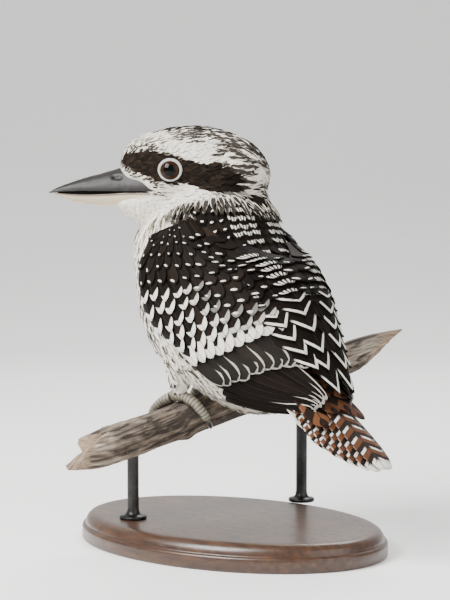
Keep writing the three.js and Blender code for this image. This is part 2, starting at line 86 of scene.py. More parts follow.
# Board: one oval piece of dark stained hardwood with a moulded rim, turned, sanded and waxed. The
# grain runs along it, and the wax leaves a soft sheen that is duller over the open pores.
class Socket:
    """A shader socket that takes part in Python expressions."""

    def __init__(self, finish, out):
        self.finish, self.out = finish, out

    def math(self, operation, *values):
        return self.finish.node("ShaderNodeMath", {"operation": operation}, *values)

    def __add__(self, other):
        return self.math("ADD", self, other)

    def __sub__(self, other):
        return self.math("SUBTRACT", self, other)

    def __rsub__(self, other):
        return self.math("SUBTRACT", other, self)

    def __mul__(self, other):
        return self.math("MULTIPLY", self, other)

    def __truediv__(self, other):
        return self.math("DIVIDE", self, other)

    def __pow__(self, other):
        return self.math("POWER", self, other)

    def __abs__(self):
        return self.math("ABSOLUTE", self)

    def sine(self):
        return self.math("SINE", self)

    def most(self, other):
        return self.math("MAXIMUM", self, other)

    def least(self, other):
        return self.math("MINIMUM", self, other)

    def step(self, low, high):
        """0 below low, 1 above high, smooth between them, or the other way round."""
        return self.finish.node(
            "ShaderNodeMapRange",
            {"interpolation_type": "SMOOTHSTEP"},
            *((self, low, high, 0.0, 1.0) if low < high else (self, high, low, 1.0, 0.0)),
        )

    __radd__ = __add__
    __rmul__ = __mul__


class Finish:
    """A material, its shader and the nodes that feed it."""

    def __init__(self, name, **fixed):
        self.material = bpy.data.materials.new(name)
        self.material.use_nodes = True
        self.tree = self.material.node_tree
        self.shader = self.tree.nodes["Principled BSDF"]
        self.set(**fixed)

    def put(self, socket, value):
        if isinstance(value, Socket):
            self.tree.links.new(value.out, socket)
        elif socket.type == "RGBA":
            socket.default_value = (*value, 1.0)
        else:
            socket.default_value = value

    def set(self, **values):
        for name, value in values.items():
            self.put(self.shader.inputs[name.replace("_", " ")], value)
        return self

    def node(self, kind, settings, *values, out=0, **named):
        made = self.tree.nodes.new(kind)
        for name, value in settings.items():
            if name == "stops":
                ramp = made.color_ramp.elements
                while len(ramp) < len(value):
                    ramp.new(0.5)
                for element, (place, colour) in zip(ramp, value):
                    element.position, element.color = place, (*colour, 1.0)
            else:
                setattr(made, name, value)
        for key, value in (*enumerate(values), *named.items()):
            self.put(made.inputs[key if isinstance(key, int) else key.title()], value)
        return Socket(self, made.outputs[out])

    def field(self, name):
        """A value stored on the mesh."""
        return self.node("ShaderNodeAttribute", {"attribute_name": name}, out="Fac")

    def object_place(self):
        return self.node("ShaderNodeTexCoord", {}, out="Object")

    def place(self, x, y, z=0.0):
        return self.node("ShaderNodeCombineXYZ", {}, x, y, z)

    def stretched(self, vector, scale):
        return self.node("ShaderNodeVectorMath", {"operation": "MULTIPLY"}, vector, scale)

    def noise(self, vector, scale, detail=4.0, roughness=0.55):
        return self.node(
            "ShaderNodeTexNoise", {}, vector=vector, scale=scale, detail=detail, roughness=roughness
        )

    def blend(self, mask, one, other):
        made = self.tree.nodes.new("ShaderNodeMix")
        made.data_type = "RGBA"
        for key, value in ((0, mask), (6, one), (7, other)):
            self.put(made.inputs[key], value)
        return Socket(self, made.outputs[2])

    def colours(self, value, *stops):
        return self.node("ShaderNodeValToRGB", {"stops": stops}, value)

    def bump(self, height, strength, distance=0.0005):
        self.set(Normal=self.node("ShaderNodeBump", {}, strength=strength, distance=distance, height=height))
        return self

def around(sides, whole=2 * np.pi):
    return np.linspace(0, whole, sides, endpoint=False)


def grid(down, across):
    """The place down and the place across of every vertex of a form."""
    return np.meshgrid(down, across, indexing="ij")


def lattice(rows, columns, closed=False):
    """Four-sided faces between rows of vertices."""
    r, c = grid(np.arange(rows - 1), np.arange(columns if closed else columns - 1))
    n = (c + 1) % columns
    corners = [r * columns + c, r * columns + n, (r + 1) * columns + n, (r + 1) * columns + c]
    return np.stack(corners, -1).reshape(-1, 4)


def piece(name, points, faces, finish, slot, replaces=(), fields=None, maps=None, body="root"):
    """A smooth mesh that rides on a body; maps are UV places for each vertex."""
    mesh = bpy.data.meshes.new(name)
    mesh.from_pydata(np.reshape(points, (-1, 3)) * MM, [], faces)
    mesh.polygons.foreach_set("use_smooth", np.ones(len(mesh.polygons), bool))
    for field, values in (fields or {}).items():
        mesh.attributes.new(field, "FLOAT", "POINT").data.foreach_set(
            "value", np.ravel(values).astype(np.float32)
        )
    corner = np.zeros(len(mesh.loops), np.int32)
    mesh.loops.foreach_get("vertex_index", corner)
    for layer, values in (maps or {}).items():
        places = np.reshape(values, (-1, 2))[corner].astype(np.float32)
        mesh.uv_layers.new(name=layer).data.foreach_set("uv", places.ravel())
    mesh.materials.append(finish.material)
    made = placed(name, mesh)
    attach(made, body)
    if replaces:
        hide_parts(*replaces)
    return made


def capped(rings):
    """Points and faces of a closed form through rings of points, with a centre vertex at each end."""
    count, sides = rings.shape[:2]
    points = np.concatenate([rings.reshape(-1, 3), rings[[0, -1]].mean(1)])
    faces = lattice(count, sides, closed=True).tolist()
    last = (count - 1) * sides
    for i in range(sides):
        j = (i + 1) % sides
        faces += [[j, i, count * sides], [last + i, last + j, count * sides + 1]]
    return points, faces


def with_ends(values):
    """A value for each vertex of a capped form."""
    return np.concatenate([values.ravel(), values[[0, -1]].mean(1)])


BOARD_LONG, BOARD_WIDE, BOARD_THICK = 236.0, 168.0, 18.0
# Inset and height of the rim's moulding, from the underside's edge to the top's flat
MOULDING = [
    (3.0, 0.0), (1.4, 0.0), (0.5, 0.5), (0.0, 1.6), (0.0, 8.0), (0.2, 9.2), (0.9, 10.0), (1.9, 10.3),
    (2.3, 10.6), (2.4, 11.4), (2.9, 13.4), (4.2, 15.4), (6.0, 16.9), (8.2, 17.7), (10.5, 18.0),
    (14.0, 18.0), (60.0, 18.0),
]

stained_wood = Finish("stained_wood", Roughness=0.4, Coat_Weight=0.25, Coat_Roughness=0.25)
wood_place = stained_wood.object_place()
grain = stained_wood.noise(stained_wood.stretched(wood_place, (9.0, 60.0, 60.0)), 4.0, 6.0, 0.6)
pores = stained_wood.noise(stained_wood.stretched(wood_place, (40.0, 700.0, 700.0)), 3.0, 2.0)
stained_wood.set(
    Base_Color=stained_wood.blend(
        pores.step(0.62, 0.7) * 0.6,
        stained_wood.colours(
            grain, (0.3, (0.026, 0.012, 0.006)), (0.55, (0.06, 0.026, 0.012)), (0.75, (0.1, 0.045, 0.02))
        ),
        (0.012, 0.006, 0.004),
    ),
    Roughness=pores.step(0.6, 0.7) * 0.25 + 0.34,
)
stained_wood.bump(grain * 0.4 - pores.step(0.62, 0.7), 0.25, 0.0002)


def turned_rings(profile, sides, long=0.0, wide=0.0, foot=(0.0, 0.0, 0.0)):
    """Rings of a profile of radii and heights about an upright line, drawn out to an oval if asked."""
    a = around(sides)
    return foot + np.stack([
        np.stack([np.cos(a) * (long + radius), np.sin(a) * (wide + radius), a * 0 + height], -1)
        for radius, height in profile
    ])


board_profile = [(-inset, height) for inset, height in MOULDING]
board_rings = turned_rings(board_profile, 160, BOARD_LONG / 2, BOARD_WIDE / 2)
piece("board", *capped(board_rings), stained_wood, "stained_wood", ["stand_base"])

# Branch: a dry, weathered length of hardwood branch with long ridged bark, broken across at both
# ends. It is hollowed nowhere and sits on the two rods, which enter its underside.
BRANCH_RADIUS, BRANCH_TURN, BRANCH_RISE = 13.5, np.radians(70.0), np.radians(12.5)
BRANCH_REACH = (-96.0, 160.0)
QUARTER_TURN = 1.571

branch_along = np.array([
    np.cos(BRANCH_TURN) * np.cos(BRANCH_RISE), np.sin(BRANCH_TURN) * np.cos(BRANCH_RISE), np.sin(BRANCH_RISE)
])
branch_front = np.cross([0.0, 0.0, 1.0], branch_along)
branch_front /= np.linalg.norm(branch_front)
branch_up = np.cross(branch_along, branch_front)


def on_branch(d, degrees, out=0.0):
    """A place by the distance along the branch, the angle round it from its top, and the height over it."""
    d, degrees, out = np.broadcast_arrays(np.asarray(d, float), degrees, out)
    bend = 3.2 * np.sin(d / 46 + 0.5) - 3.2 * np.sin(0.5) + 0.00035 * d * d
    radius = BRANCH_RADIUS * (1 + 0.05 * np.sin(d / 19)) - d * d * np.where(d > 0, 0.00012, 0.00006) + out
    a = np.radians(degrees)
    return (
        PERCH
        + d[..., None] * branch_along
        + (bend - BRANCH_RADIUS + np.cos(a) * radius)[..., None] * branch_up
        + (np.sin(a) * radius)[..., None] * branch_front
    )


def relief(x, y, cells_x, cells_y, seed, wrap=True):
    """Smooth random heights from -1 to 1 at x, y in 0 to 1, over cells of the given counts."""
    table = np.random.default_rng(seed).uniform(-1, 1, (cells_x + 2, cells_y + 1))
    if wrap:
        table[:, -1] = table[:, 0]
    at_x, at_y = np.clip(x, 0, 1) * cells_x, (y % 1.0 if wrap else np.clip(y, 0, 0.9999)) * cells_y
    i, j = at_x.astype(int), at_y.astype(int)
    u, v = (w * w * (3 - 2 * w) for w in (at_x - i, at_y - j))
    low = table[i, j] * (1 - u) + table[i + 1, j] * u
    high = table[i, j + 1] * (1 - u) + table[i + 1, j + 1] * u
    return low * (1 - v) + high * v


bark = Finish("bark", Roughness=0.9)
bark_along, bark_round, relief_shade, torn = (bark.field(name) for name in ("along", "round", "depth", "torn"))
round_y, round_z = bark_round.sine(), (bark_round + QUARTER_TURN).sine()
bark_place = bark.place(bark_along * 0.05, round_y * 1.1, round_z * 1.1)
fibre = bark.noise(bark.place(bark_along * 0.035, round_y * 9.0, round_z * 9.0), 2.2, 6.0, 0.65)
blotch = bark.noise(bark_place, 2.6, 5.0, 0.6)
# Colour follows the relief: painted shade darkens the cracks and painted light brightens the ridges.
bark_colour = bark.colours(
    relief_shade * 0.32 + fibre * 0.55 + 0.15,
    (0.22, (0.03, 0.022, 0.016)), (0.45, (0.13, 0.1, 0.075)),
    (0.62, (0.27, 0.22, 0.17)), (0.85, (0.43, 0.37, 0.3)),
)
lichen = bark.noise(bark_place, 9.0, 3.0).step(0.66, 0.74)
bark_colour = bark.blend(lichen * 0.45, bark_colour, (0.42, 0.44, 0.36))
bark_colour = bark.blend(blotch.step(0.5, 0.7) * 0.35, bark_colour, (0.2, 0.13, 0.085))
heartwood = bark.colours(
    fibre, (0.35, (0.07, 0.045, 0.028)), (0.5, (0.27, 0.19, 0.125)), (0.68, (0.45, 0.36, 0.26))
)
bark.set(Base_Color=bark.blend(torn, bark_colour, heartwood), Roughness=0.95 - fibre * 0.15)
bark.bump(fibre + blotch * 0.5, 0.55, 0.0006)

RINGS, SIDES = 380, 132
f, degrees = grid(np.linspace(0, 1, RINGS), around(SIDES, 360))
turned = degrees / 360
left, right = np.clip(1 - f / 0.12, 0, None), np.clip((f - 0.86) / 0.14, 0, None)
tongues = np.clip(1 - f / 0.1, 0, None) ** 2 * (np.abs(np.sin(np.radians(degrees * 1.5 + 40))) ** 0.7 - 0.75)
d = (
    BRANCH_REACH[0] + (BRANCH_REACH[1] - BRANCH_REACH[0]) * f
    + 9 * left * np.cos(np.radians(degrees)) + 17 * right * np.cos(np.radians(degrees - 20)) - 15 * tongues
    + 1.6 * (left ** 4 + right ** 4) * relief(f, turned, 4, 40, 3)
)
twist = turned + 0.035 * np.sin(f * 9) + 0.012 * relief(f, turned, 14, 7, 4)
ridges = 1 - np.abs(relief(f, twist, 9, 19, 5)) * 2
cracks = -np.clip(0.3 - np.abs(relief(f, twist, 12, 34, 6)), 0, None) * 3.2
bumps = 0.55 * ridges + cracks + 0.35 * relief(f, twist, 60, 60, 7) + 0.8 * relief(f, turned, 7, 5, 8)
knots = sum(
    high * np.exp(-(((f - at) * 286) ** 2 / long**2 + ((degrees - angle + 180) % 360 - 180) ** 2 / wide**2))
    for at, angle, high, long, wide in (
        (0.17, 300, 2.6, 7, 26), (0.31, 200, 2.2, 6, 24), (0.72, 330, 2.6, 8, 28)
    )
)
taper = -4.5 * right**2 - 3 * np.clip(1 - f / 0.1, 0, None) ** 2
perch_flat = 1 - 0.6 * np.exp(-((d / 40) ** 2))
branch_rings = on_branch(d, degrees, taper + bumps * perch_flat * 0.8 + knots - 0.4)
torn_ends = np.clip((f - 0.945) * 60 + 0.6 * relief(f, turned, 3, 30, 9), 0, 1)
torn_ends = torn_ends + np.clip((0.02 - f) * 120, 0, 1)
branch_fields = {"along": d, "round": np.radians(degrees), "depth": bumps, "torn": torn_ends}
branch_fields = {name: with_ends(values) for name, values in branch_fields.items()}
piece("branch", *capped(branch_rings), bark, "bark", ["perch_branch"], branch_fields)

# Rods: two blackened steel rods, each with a turned flange that screws it to the board, driven
# into holes in the branch's underside.
ROD_PLACES, ROD_RADIUS = (-58.0, 84.0), 4.0
# Radius and height over the board of the turned profile, up to the plain rod
ROD_PROFILE = [
    (0.5, -0.2), (9.0, -0.2), (9.4, 0.3), (9.4, 1.6), (9.0, 2.2), (6.4, 2.6), (5.2, 3.4), (4.4, 5.0),
    (ROD_RADIUS, 7.5),
]

dark_steel = Finish("dark_steel", Metallic=0.9, Roughness=0.35)
smudge = dark_steel.noise(dark_steel.object_place(), 90.0, 5.0)
dark_steel.set(
    Base_Color=dark_steel.colours(smudge, (0.35, (0.02, 0.02, 0.021)), (0.7, (0.05, 0.048, 0.046))),
    Roughness=smudge * 0.25 + 0.24,
)
drawn = dark_steel.noise(dark_steel.stretched(dark_steel.object_place(), (1.0, 1.0, 30.0)), 80.0)
dark_steel.bump(drawn, 0.12, 0.0002)

for name, place in zip(("left", "right"), ROD_PLACES):
    under = on_branch(place, 180.0, -5.0)
    plain_rod = [(ROD_RADIUS, h) for h in np.linspace(9, under[2] - BOARD_THICK, 12)]
    rod_rings = turned_rings(ROD_PROFILE + plain_rod, 40, foot=(under[0], under[1], BOARD_THICK))
    piece(f"rod_{name}", *capped(rod_rings), dark_steel, "dark_steel", [f"stand_rod_{name}"])

# Feet: short shanks and strong toes in grey-olive skin, ringed with horny scutes along the top and
# pebbled beneath. Three toes lie forward over the branch and the hind one comes down behind it.
FOOT_SPREAD, SLANT, SCUTE_LENGTH = 17.0, 0.11, 2.3
SKIN_SIDES, CLAW_SIDES = 20, 16
# Degrees round the branch, shift along it, and radius, each at the toe's root and tip
TOES = {
    "inner": ((8, 82), 6.8, (3.5, 2.8)),
    "middle": ((8, 108), 0.2, (3.8, 2.9)),
    "outer": ((8, 98), -6.6, (3.6, 2.8)),
    "hind": ((4, -96), 0.6, (4.0, 3.0)),
}


def unit(vectors):
    return vectors / np.maximum(np.linalg.norm(vectors, axis=-1, keepdims=True), 1e-9)


def sweep(line, radii, outward, sides, swell=1.0):
    """Rings round a line of points; the first side faces outward."""
    along = unit(np.gradient(line, axis=0))
    across = unit(np.cross(outward, along))
    top = np.cross(along, across)
    a = around(sides)
    radius = np.asarray(radii)[:, None] * swell
    upward, sideways = (radius * np.cos(a))[..., None], (radius * np.sin(a))[..., None]
    return line[:, None] + upward * top[:, None] + sideways * across[:, None]


def joined(parts):
    """One set of points, faces and fields from several."""
    points, faces, fields, start = [], [], [], 0
    for part_points, part_faces, part_fields in parts:
        points.append(part_points)
        faces += [[i + start for i in face] for face in part_faces]
        fields.append(part_fields)
        start += len(part_points)
    return np.concatenate(points), faces, {k: np.concatenate([f[k] for f in fields]) for k in fields[0]}


scaled_skin = Finish("scaled_skin", Roughness=0.55)
scute, skin_top = scaled_skin.field("scute"), scaled_skin.field("top")
mottle = scaled_skin.noise(scaled_skin.object_place(), 160.0, 5.0)
pebbles = scaled_skin.node(
    "ShaderNodeTexVoronoi", {"feature": "DISTANCE_TO_EDGE"}, vector=scaled_skin.object_place(), scale=1400.0
)
scaled_skin.set(
    Base_Color=scaled_skin.blend(
        (1 - scute.step(0.15, 0.6)) * 0.95,
        scaled_skin.colours(
            mottle * 0.6 + skin_top * 0.3,
            (0.2, (0.1, 0.085, 0.06)), (0.5, (0.22, 0.195, 0.145)), (0.8, (0.36, 0.33, 0.26)),
        ),
        (0.03, 0.025, 0.018),
    ),
    Roughness=0.7 - skin_top * 0.22,
)
pebbled = pebbles.step(0.0, 0.12) * (1 - skin_top) * 0.5
scaled_skin.bump(scute.step(0.0, 0.4) * skin_top + pebbled, 0.5, 0.0003)

claw_horn = Finish("claw_horn", Roughness=0.3, Coat_Weight=0.3, Coat_Roughness=0.2)
claw_along = claw_horn.field("along")
claw_horn.set(Base_Color=claw_horn.colours(
    claw_along + claw_horn.noise(claw_horn.object_place(), 400.0) * 0.2 - 0.1,
    (0.1, (0.06, 0.05, 0.04)), (0.5, (0.018, 0.016, 0.014)), (1.0, (0.03, 0.025, 0.02)),
))


def toe_line(side, toe, f):
    turns, shift, radii = TOES[toe]
    at = turns[0] + (turns[1] - turns[0]) * f
    radius = radii[0] + (radii[1] - radii[0]) * f
    foot = -side * FOOT_SPREAD
    line = on_branch(foot + shift * np.minimum(1, 0.35 + 1.3 * f) * side - SLANT * at, at, radius + 0.7)
    return line, unit(on_branch(foot, at, 60.0) - on_branch(foot, at, 0.0)), radius


upper = np.clip(np.cos(around(SKIN_SIDES)) * 1.4 + 0.35, 0, 1)  # how far each side is a toe's top


def scaled(line, radius, outward, ripple, height, pads=0.0):
    """Points, faces and fields of a toe or shank, rippled by scutes on top and padded beneath."""
    swell = 1 + height * (ripple[:, None] ** 0.6 - 0.6) * upper - pads * (1 - upper)
    points, faces = capped(sweep(line, radius, outward, SKIN_SIDES, swell))
    fields = {"scute": ripple[:, None], "top": upper}
    return points, faces, {name: with_ends(values * np.ones_like(swell)) for name, values in fields.items()}


for side, hand in ((1, "left"), (-1, "right")):
    parts = []
    f = np.linspace(0, 1, 90)
    for toe in TOES:
        line, up, radius = toe_line(side, toe, f)
        length = np.linalg.norm(np.diff(line, axis=0), axis=1).sum()
        ripple = np.abs(np.sin(np.pi * round(length / SCUTE_LENGTH) * f))
        pads = 0.07 * np.cos(2 * np.pi * (f * 3.5 + 0.1))
        close = np.minimum(1, (1 - f) / 0.06) ** 0.5 * 0.35 + 0.65
        parts.append(scaled(line, radius * close, up, ripple, 0.12, pads[:, None]))
    f = np.linspace(-0.5, 1.25, 60)
    shank = on_branch(-side * FOOT_SPREAD, 5.0, 4.0) + f[:, None] * np.array([2.5, 0.0, 9.0])
    radius = np.interp(f, [-0.5, -0.2, 0.1, 0.5, 1.25], [0.5, 3.6, 4.3, 3.4, 3.2])
    parts.append(scaled(shank, radius, [-1.0, 0.0, 0.3], np.abs(np.sin(np.pi * 8 * f)), 0.05))
    points, faces, fields = joined(parts)
    piece(f"foot_{hand}_skin", points, faces, scaled_skin, "scaled_skin", [f"foot_{hand}"], fields)

    f = np.linspace(-0.12, 1, 40)
    for toe, (turns, shift, radii) in TOES.items():
        at = turns[1] + np.sign(turns[1]) * 34 * f
        out = radii[1] + 0.9 + 1.2 * np.sin(f * np.pi) - 1.2 * f
        along = -side * FOOT_SPREAD + shift * side - SLANT * at
        line = on_branch(along, at, out)
        radius = radii[1] * np.clip(0.78 * (1 - np.clip(f, 0, 1) ** 1.5) + 0.1, 0.1, 1)
        flattened = 1 - 0.18 * np.abs(np.sin(around(CLAW_SIDES)))
        rings = sweep(line, radius, on_branch(along, at, out + 10) - line, CLAW_SIDES, flattened)
        piece(
            f"claw_{hand}_{toe}_horn", *capped(rings), claw_horn, "dark_horn", [f"claw_{hand}_{toe}"],
            {"along": with_ends(np.tile(f[:, None], (1, CLAW_SIDES)))},
        )

# Body form: one skin over the carved body, neck, head and thighs, set in from the outside by the
# depth of the plumage. It is thin and pale, and the plumage hides it all.
def through(values):
    """A smooth curve through values at evenly spaced places from 0 to 1."""
    values = np.asarray(values, float)
    slope = np.gradient(values)
    last = len(values) - 1

    def curve(t):
        at = np.clip(t, 0, 1) * last
        i = np.minimum(last - 1, at.astype(int))
        u, rest = at - i, 1 - at + i
        return (
            values[i] * (1 + 2 * u) * rest**2 + slope[i] * u * rest**2
            + values[i + 1] * u**2 * (3 - 2 * u) - slope[i + 1] * u**2 * rest
        )

    return curve


LEFTWARD = np.array([0.0, -1.0, 0.0])


def barrel(stations, power):
    """A form of oval sections along a line: x, z, depth above, depth below and half width."""
    x, z, above, below, wide = (through(column) for column in np.transpose(stations))

    def surface(t, degrees, lift=0.0):
        t, degrees, lift = (np.asarray(v, float) for v in np.broadcast_arrays(t, degrees, lift))
        within = np.clip(t, 0, 1)
        low, high = np.maximum(0, within - 1e-3), np.minimum(1, within + 1e-3)
        along = unit(np.stack([x(high) - x(low), t * 0, z(high) - z(low)], -1))
        up = np.stack([-along[..., 2], t * 0, along[..., 0]], -1)
        a = np.radians(degrees)
        c, s = (np.sign(v) * np.abs(v) ** (2 / power) for v in (np.cos(a), np.sin(a)))
        middle = np.stack([x(t), t * 0, z(t)], -1)
        depth = np.where(c > 0, above(t), below(t)) + lift
        return middle + (c * depth)[..., None] * up + (s * (wide(t) + lift))[..., None] * LEFTWARD

    return surface


TORSO_STATIONS = [
    [10, 163, 22, 22, 20], [9, 141, 34, 39, 31], [12, 119, 42, 60, 45], [20, 95, 46, 66, 49],
    [29, 70, 55, 70, 51], [45, 47, 50, 60, 47], [62, 29, 40, 48, 38], [79, 17, 28, 32, 27],
    [94, 9, 13, 13, 17],
]
HEAD_STATIONS = [
    [-46, -7, 12, 14, 12], [-38, -1, 20, 24, 18.5], [-27, 0, 27, 28, 23.5], [-13, 0, 31.5, 31, 27],
    [2, 0, 32.2, 33, 29], [16, -1, 30, 33.5, 29.5], [29, -3, 25, 32, 27.5], [40, -6, 17, 26, 21],
    [46.5, -9, 7, 13, 10],
]
CHIN_STATIONS = [
    [-57, -20, 1, 4, 6], [-51, -20, 3, 9, 13], [-45, -20, 5, 14.5, 15.5], [-36, -20, 8, 20, 18.5],
    [-24, -20, 10, 23, 19], [-12, -20, 8, 20, 16],
]
BROW_STATIONS = [
    [-50, 4, 6, 10, 7], [-44, 6, 13.5, 12, 13], [-36, 8, 18.5, 14, 17.5], [-24, 8, 22.5, 14, 22],
    [-10, 8, 24.5, 14, 24],
]
NAPE_STATIONS = [
    [30, 8, 9, 10, 14], [36, -4, 9.5, 12, 18], [41, -16, 8.5, 14, 20], [46, -28, 8, 14, 21],
    [53, -42, 6, 14, 20],
]
TORSO, HEAD = barrel(TORSO_STATIONS, 2.15), barrel(HEAD_STATIONS, 2.1)
HEAD_TURN, HEAD_CENTRE = np.radians(40.0), np.array([2.0, -5.0, 155.0])
turn_head = np.array([
    [np.cos(HEAD_TURN), -np.sin(HEAD_TURN), 0], [np.sin(HEAD_TURN), np.cos(HEAD_TURN), 0], [0, 0, 1]
])
BODY_COAT, HEAD_COAT = 3.2, 2.0  # depth of the plumage over the skin
SKIN_CELL, SKIN_SOFTENING = 0.0017, 14  # the cells that join the forms, in metres, and the smoothing


def on_head(points):
    """From the head's own place, facing -X about its centre, to the whole's."""
    return np.asarray(points) @ turn_head.T + HEAD_CENTRE + PERCH


def in_head(points):
    return (points - PERCH - HEAD_CENTRE) @ turn_head


def rings_of(surface, low, high, rows, sides, lift):
    return surface(*grid(np.linspace(low, high, rows), around(sides, 360)), lift)


def thigh_rings(side):
    foot = on_branch(-side * FOOT_SPREAD, 4.0, 0.0) - PERCH
    hip = np.array([16.0, -side * 24.0, 40.0])
    knee, ankle = (hip + foot) / 2 + [-3, 0, 0], foot + [2.5, 0, 7]
    f = np.linspace(0, 1, 24)[:, None]
    line = hip * (1 - f) ** 2 + knee * 2 * f * (1 - f) + ankle * f**2
    radius = np.interp(f[:, 0], np.linspace(0, 1, 7), [16, 16, 15, 12.5, 10, 8, 6.4]) - 2.2
    return sweep(line, radius, [-1.0, 0.0, 0.4], 24) + PERCH


forms = [
    rings_of(TORSO, 0.02, 1.0, 60, 72, -BODY_COAT) + PERCH,
    *(on_head(rings_of(form, 0.0, 1.0, 60, 72, -HEAD_COAT)) for form in (
        HEAD, barrel(CHIN_STATIONS, 2), barrel(BROW_STATIONS, 2), barrel(NAPE_STATIONS, 2)
    )),
    thigh_rings(1), thigh_rings(-1),
]
points, faces, _ = joined([(*capped(rings), {}) for rings in forms])
rough_form = bpy.data.meshes.new("rough_form")
rough_form.from_pydata(points * MM, [], faces)
rough = placed("rough_form", rough_form)
remesh = rough.modifiers.new("remesh", "REMESH")
remesh.mode, remesh.voxel_size = "VOXEL", SKIN_CELL
soften = rough.modifiers.new("soften", "SMOOTH")
soften.factor, soften.iterations = 0.5, SKIN_SOFTENING
soft = rough.evaluated_get(bpy.context.evaluated_depsgraph_get()).to_mesh()
skin_points = np.zeros(len(soft.vertices) * 3, np.float32)
soft.vertices.foreach_get("co", skin_points)
skin_points = skin_points.reshape(-1, 3).astype(float) / MM
skin_faces = [list(face.vertices) for face in soft.polygons]
bpy.data.objects.remove(rough)
skin_tree = BVHTree.FromPolygons(skin_points.tolist(), skin_faces)


def smooth(value, low, high):
    """0 below low, 1 above high, smooth between them, or the other way round."""
    u = np.clip((np.asarray(value, float) - low) / (high - low), 0, 1)
    return u * u * (3 - 2 * u)


torso_z = np.array([s[1] for s in TORSO_STATIONS], float)
torso_share = np.linspace(0, 1, len(TORSO_STATIONS))
torso_x, torso_h = through([s[0] for s in TORSO_STATIONS]), through(torso_z)


def in_torso(points):
    """Place along the body, degrees from the middle of the back, left being positive, and the body's line."""
    local = points - PERCH
    t = np.interp(local[:, 2], torso_z[::-1], torso_share[::-1])
    x_step, h_step = (line(t + 0.01) - line(t - 0.01) for line in (torso_x, torso_h))
    along = unit(np.stack([x_step, t * 0, h_step], -1))
    up = np.stack([-along[:, 2], t * 0, along[:, 0]], -1)
    off = local - np.stack([torso_x(t), t * 0, torso_h(t)], -1)
    return t, np.degrees(np.arctan2(-off[:, 1], (off * up).sum(1))), along


EYE = np.array([-16.0, 20.4, 1.0])  # centre of the right eye; the left one's y is negative
# Middle and half height of the dark stripe through the eye, by the place along the head
STRIPE_X = [-52, -48, -38, -27, -16, -6, 5, 15, 25, 35]
STRIPE_Z = [8, 8, 6.5, 3.5, 1.5, 0, -3, -6, -9, -11]
STRIPE_HALF = [1, 5, 8, 10.5, 11.5, 8, 9.5, 11, 8.5, 1]


def headness(points):
    """1 on the head, 0 away from it."""
    h = in_head(points)
    skull, chin = (np.linalg.norm((h - middle) / size, axis=1) for middle, size in (
        ([0, 0, -1], [51, 32, 36]), ([-36, 0, -24], [20, 19, 15])
    ))
    return smooth(np.minimum(skull, chin), 1.22, 1.04)


def markings(points, seed):
    """Shares of brown ground colour, dark shaft streak, dark fleck and rufous at places on the plumage."""
    chance = np.random.default_rng(seed).uniform(0, 1, len(points))
    h, (t, degrees, _), head = in_head(points), in_torso(points), headness(points)
    middle, half = (np.interp(h[:, 0], STRIPE_X, values) for values in (STRIPE_Z, STRIPE_HALF))
    off = np.abs(h[:, 2] - middle) / half
    stripe = smooth(off, 1.15, 0.8) * smooth(h[:, 0], 37, 30) * smooth(np.abs(h[:, 1]), 3.5, 6.5)
    tilt = np.degrees(np.arctan2(np.abs(h[:, 1]), h[:, 2]))
    crown = smooth(tilt, 28, 10) * smooth(h[:, 0], -34, -18)
    nape = smooth(h[:, 0], 8, 24) * smooth(h[:, 2] + (h[:, 0] - 20) * 0.5, -14, 2)
    back = smooth(t, 0.215, 0.25) * smooth(np.abs(degrees), 84, 74)
    brown = head * np.maximum(stripe, smooth(crown - chance * 0.9, 0, 0.25) * 0.8) + (1 - head) * back
    over = smooth(tilt, 58, 26) * np.maximum(smooth(h[:, 0], -30, 0), 0.6 * smooth(h[:, 0], -34, -44))
    lores = smooth(off, 2.3, 1.2) * smooth(h[:, 0], -16, -28)
    streak = head * (0.3 + 0.7 * np.maximum(nape, np.maximum(over, lores))) * (chance < 0.75)
    collar_spikes = (1 - head) * smooth(np.abs(degrees), 100, 75) * smooth(t, 0.08, 0.14)
    fleck = (1 - head) * (1 - back) * (chance < 0.2 + 0.14 * smooth(t, 0.4, 0.7)) * smooth(t, 0.2, 0.28)
    rufous = smooth(t, 0.82, 0.92) * back
    streak = np.maximum(streak, collar_spikes)
    return {"brown": brown, "streak": streak, "fleck": fleck, "rufous": rufous, "seed": chance}


down = Finish("down", Roughness=0.95, Specular_IOR_Level=0.1)
dark_down = down.blend(down.field("rufous"), (0.02, 0.013, 0.009), (0.1, 0.045, 0.02))
down.set(Base_Color=down.blend(down.field("brown"), (0.6, 0.55, 0.46), dark_down))
down.bump(down.noise(down.object_place(), 900.0, 3.0), 0.4, 0.0004)
skin_marks = markings(skin_points, 1)
brown, on_face = skin_marks["brown"], headness(skin_points) > 0.5
skin_fields = {"brown": np.where(on_face, smooth(brown, 0.6, 1), brown), "rufous": skin_marks["rufous"]}
piece("body_skin", skin_points, skin_faces, down, "white_plumage", ["torso", "neck", "head"], skin_fields)

# Contour plumage: soft vanes that lie back from the bill and down the body, small and hair-like on
# the face, loose on the nape, and broad and downy on the breast, belly and thighs.
UPPER_BILL_STATIONS = [
    [-101.0, -14.8, 0.5, 0.4, 0.4], [-93.02, -14.0, 3.6, 0.5, 3.1], [-79.34, -13.5, 8.0, 0.6, 6.0],
    [-65.66, -13.5, 11.8, 0.7, 8.8], [-53.12, -13.5, 15.4, 0.7, 11.6], [-44.0, -13.5, 18.2, 0.7, 14.0],
    [-35.0, -13.5, 20.5, 0.7, 16.6], [-26.0, -13.5, 22.0, 0.7, 19.0],
]
LOWER_BILL_STATIONS = [
    [-97.0, -15.1, 0.2, 0.7, 0.8], [-87.32, -16.1, 0.6, 4.2, 4.0], [-75.35, -16.4, 0.6, 6.6, 6.2],
    [-62.24, -15.9, 0.6, 8.4, 8.8], [-49.7, -15.0, 0.6, 9.6, 11.6], [-40.0, -14.7, 0.1, 10.0, 14.2],
    [-30.0, -14.7, 0.1, 9.6, 17.0],
]

BILL_BASE = -27


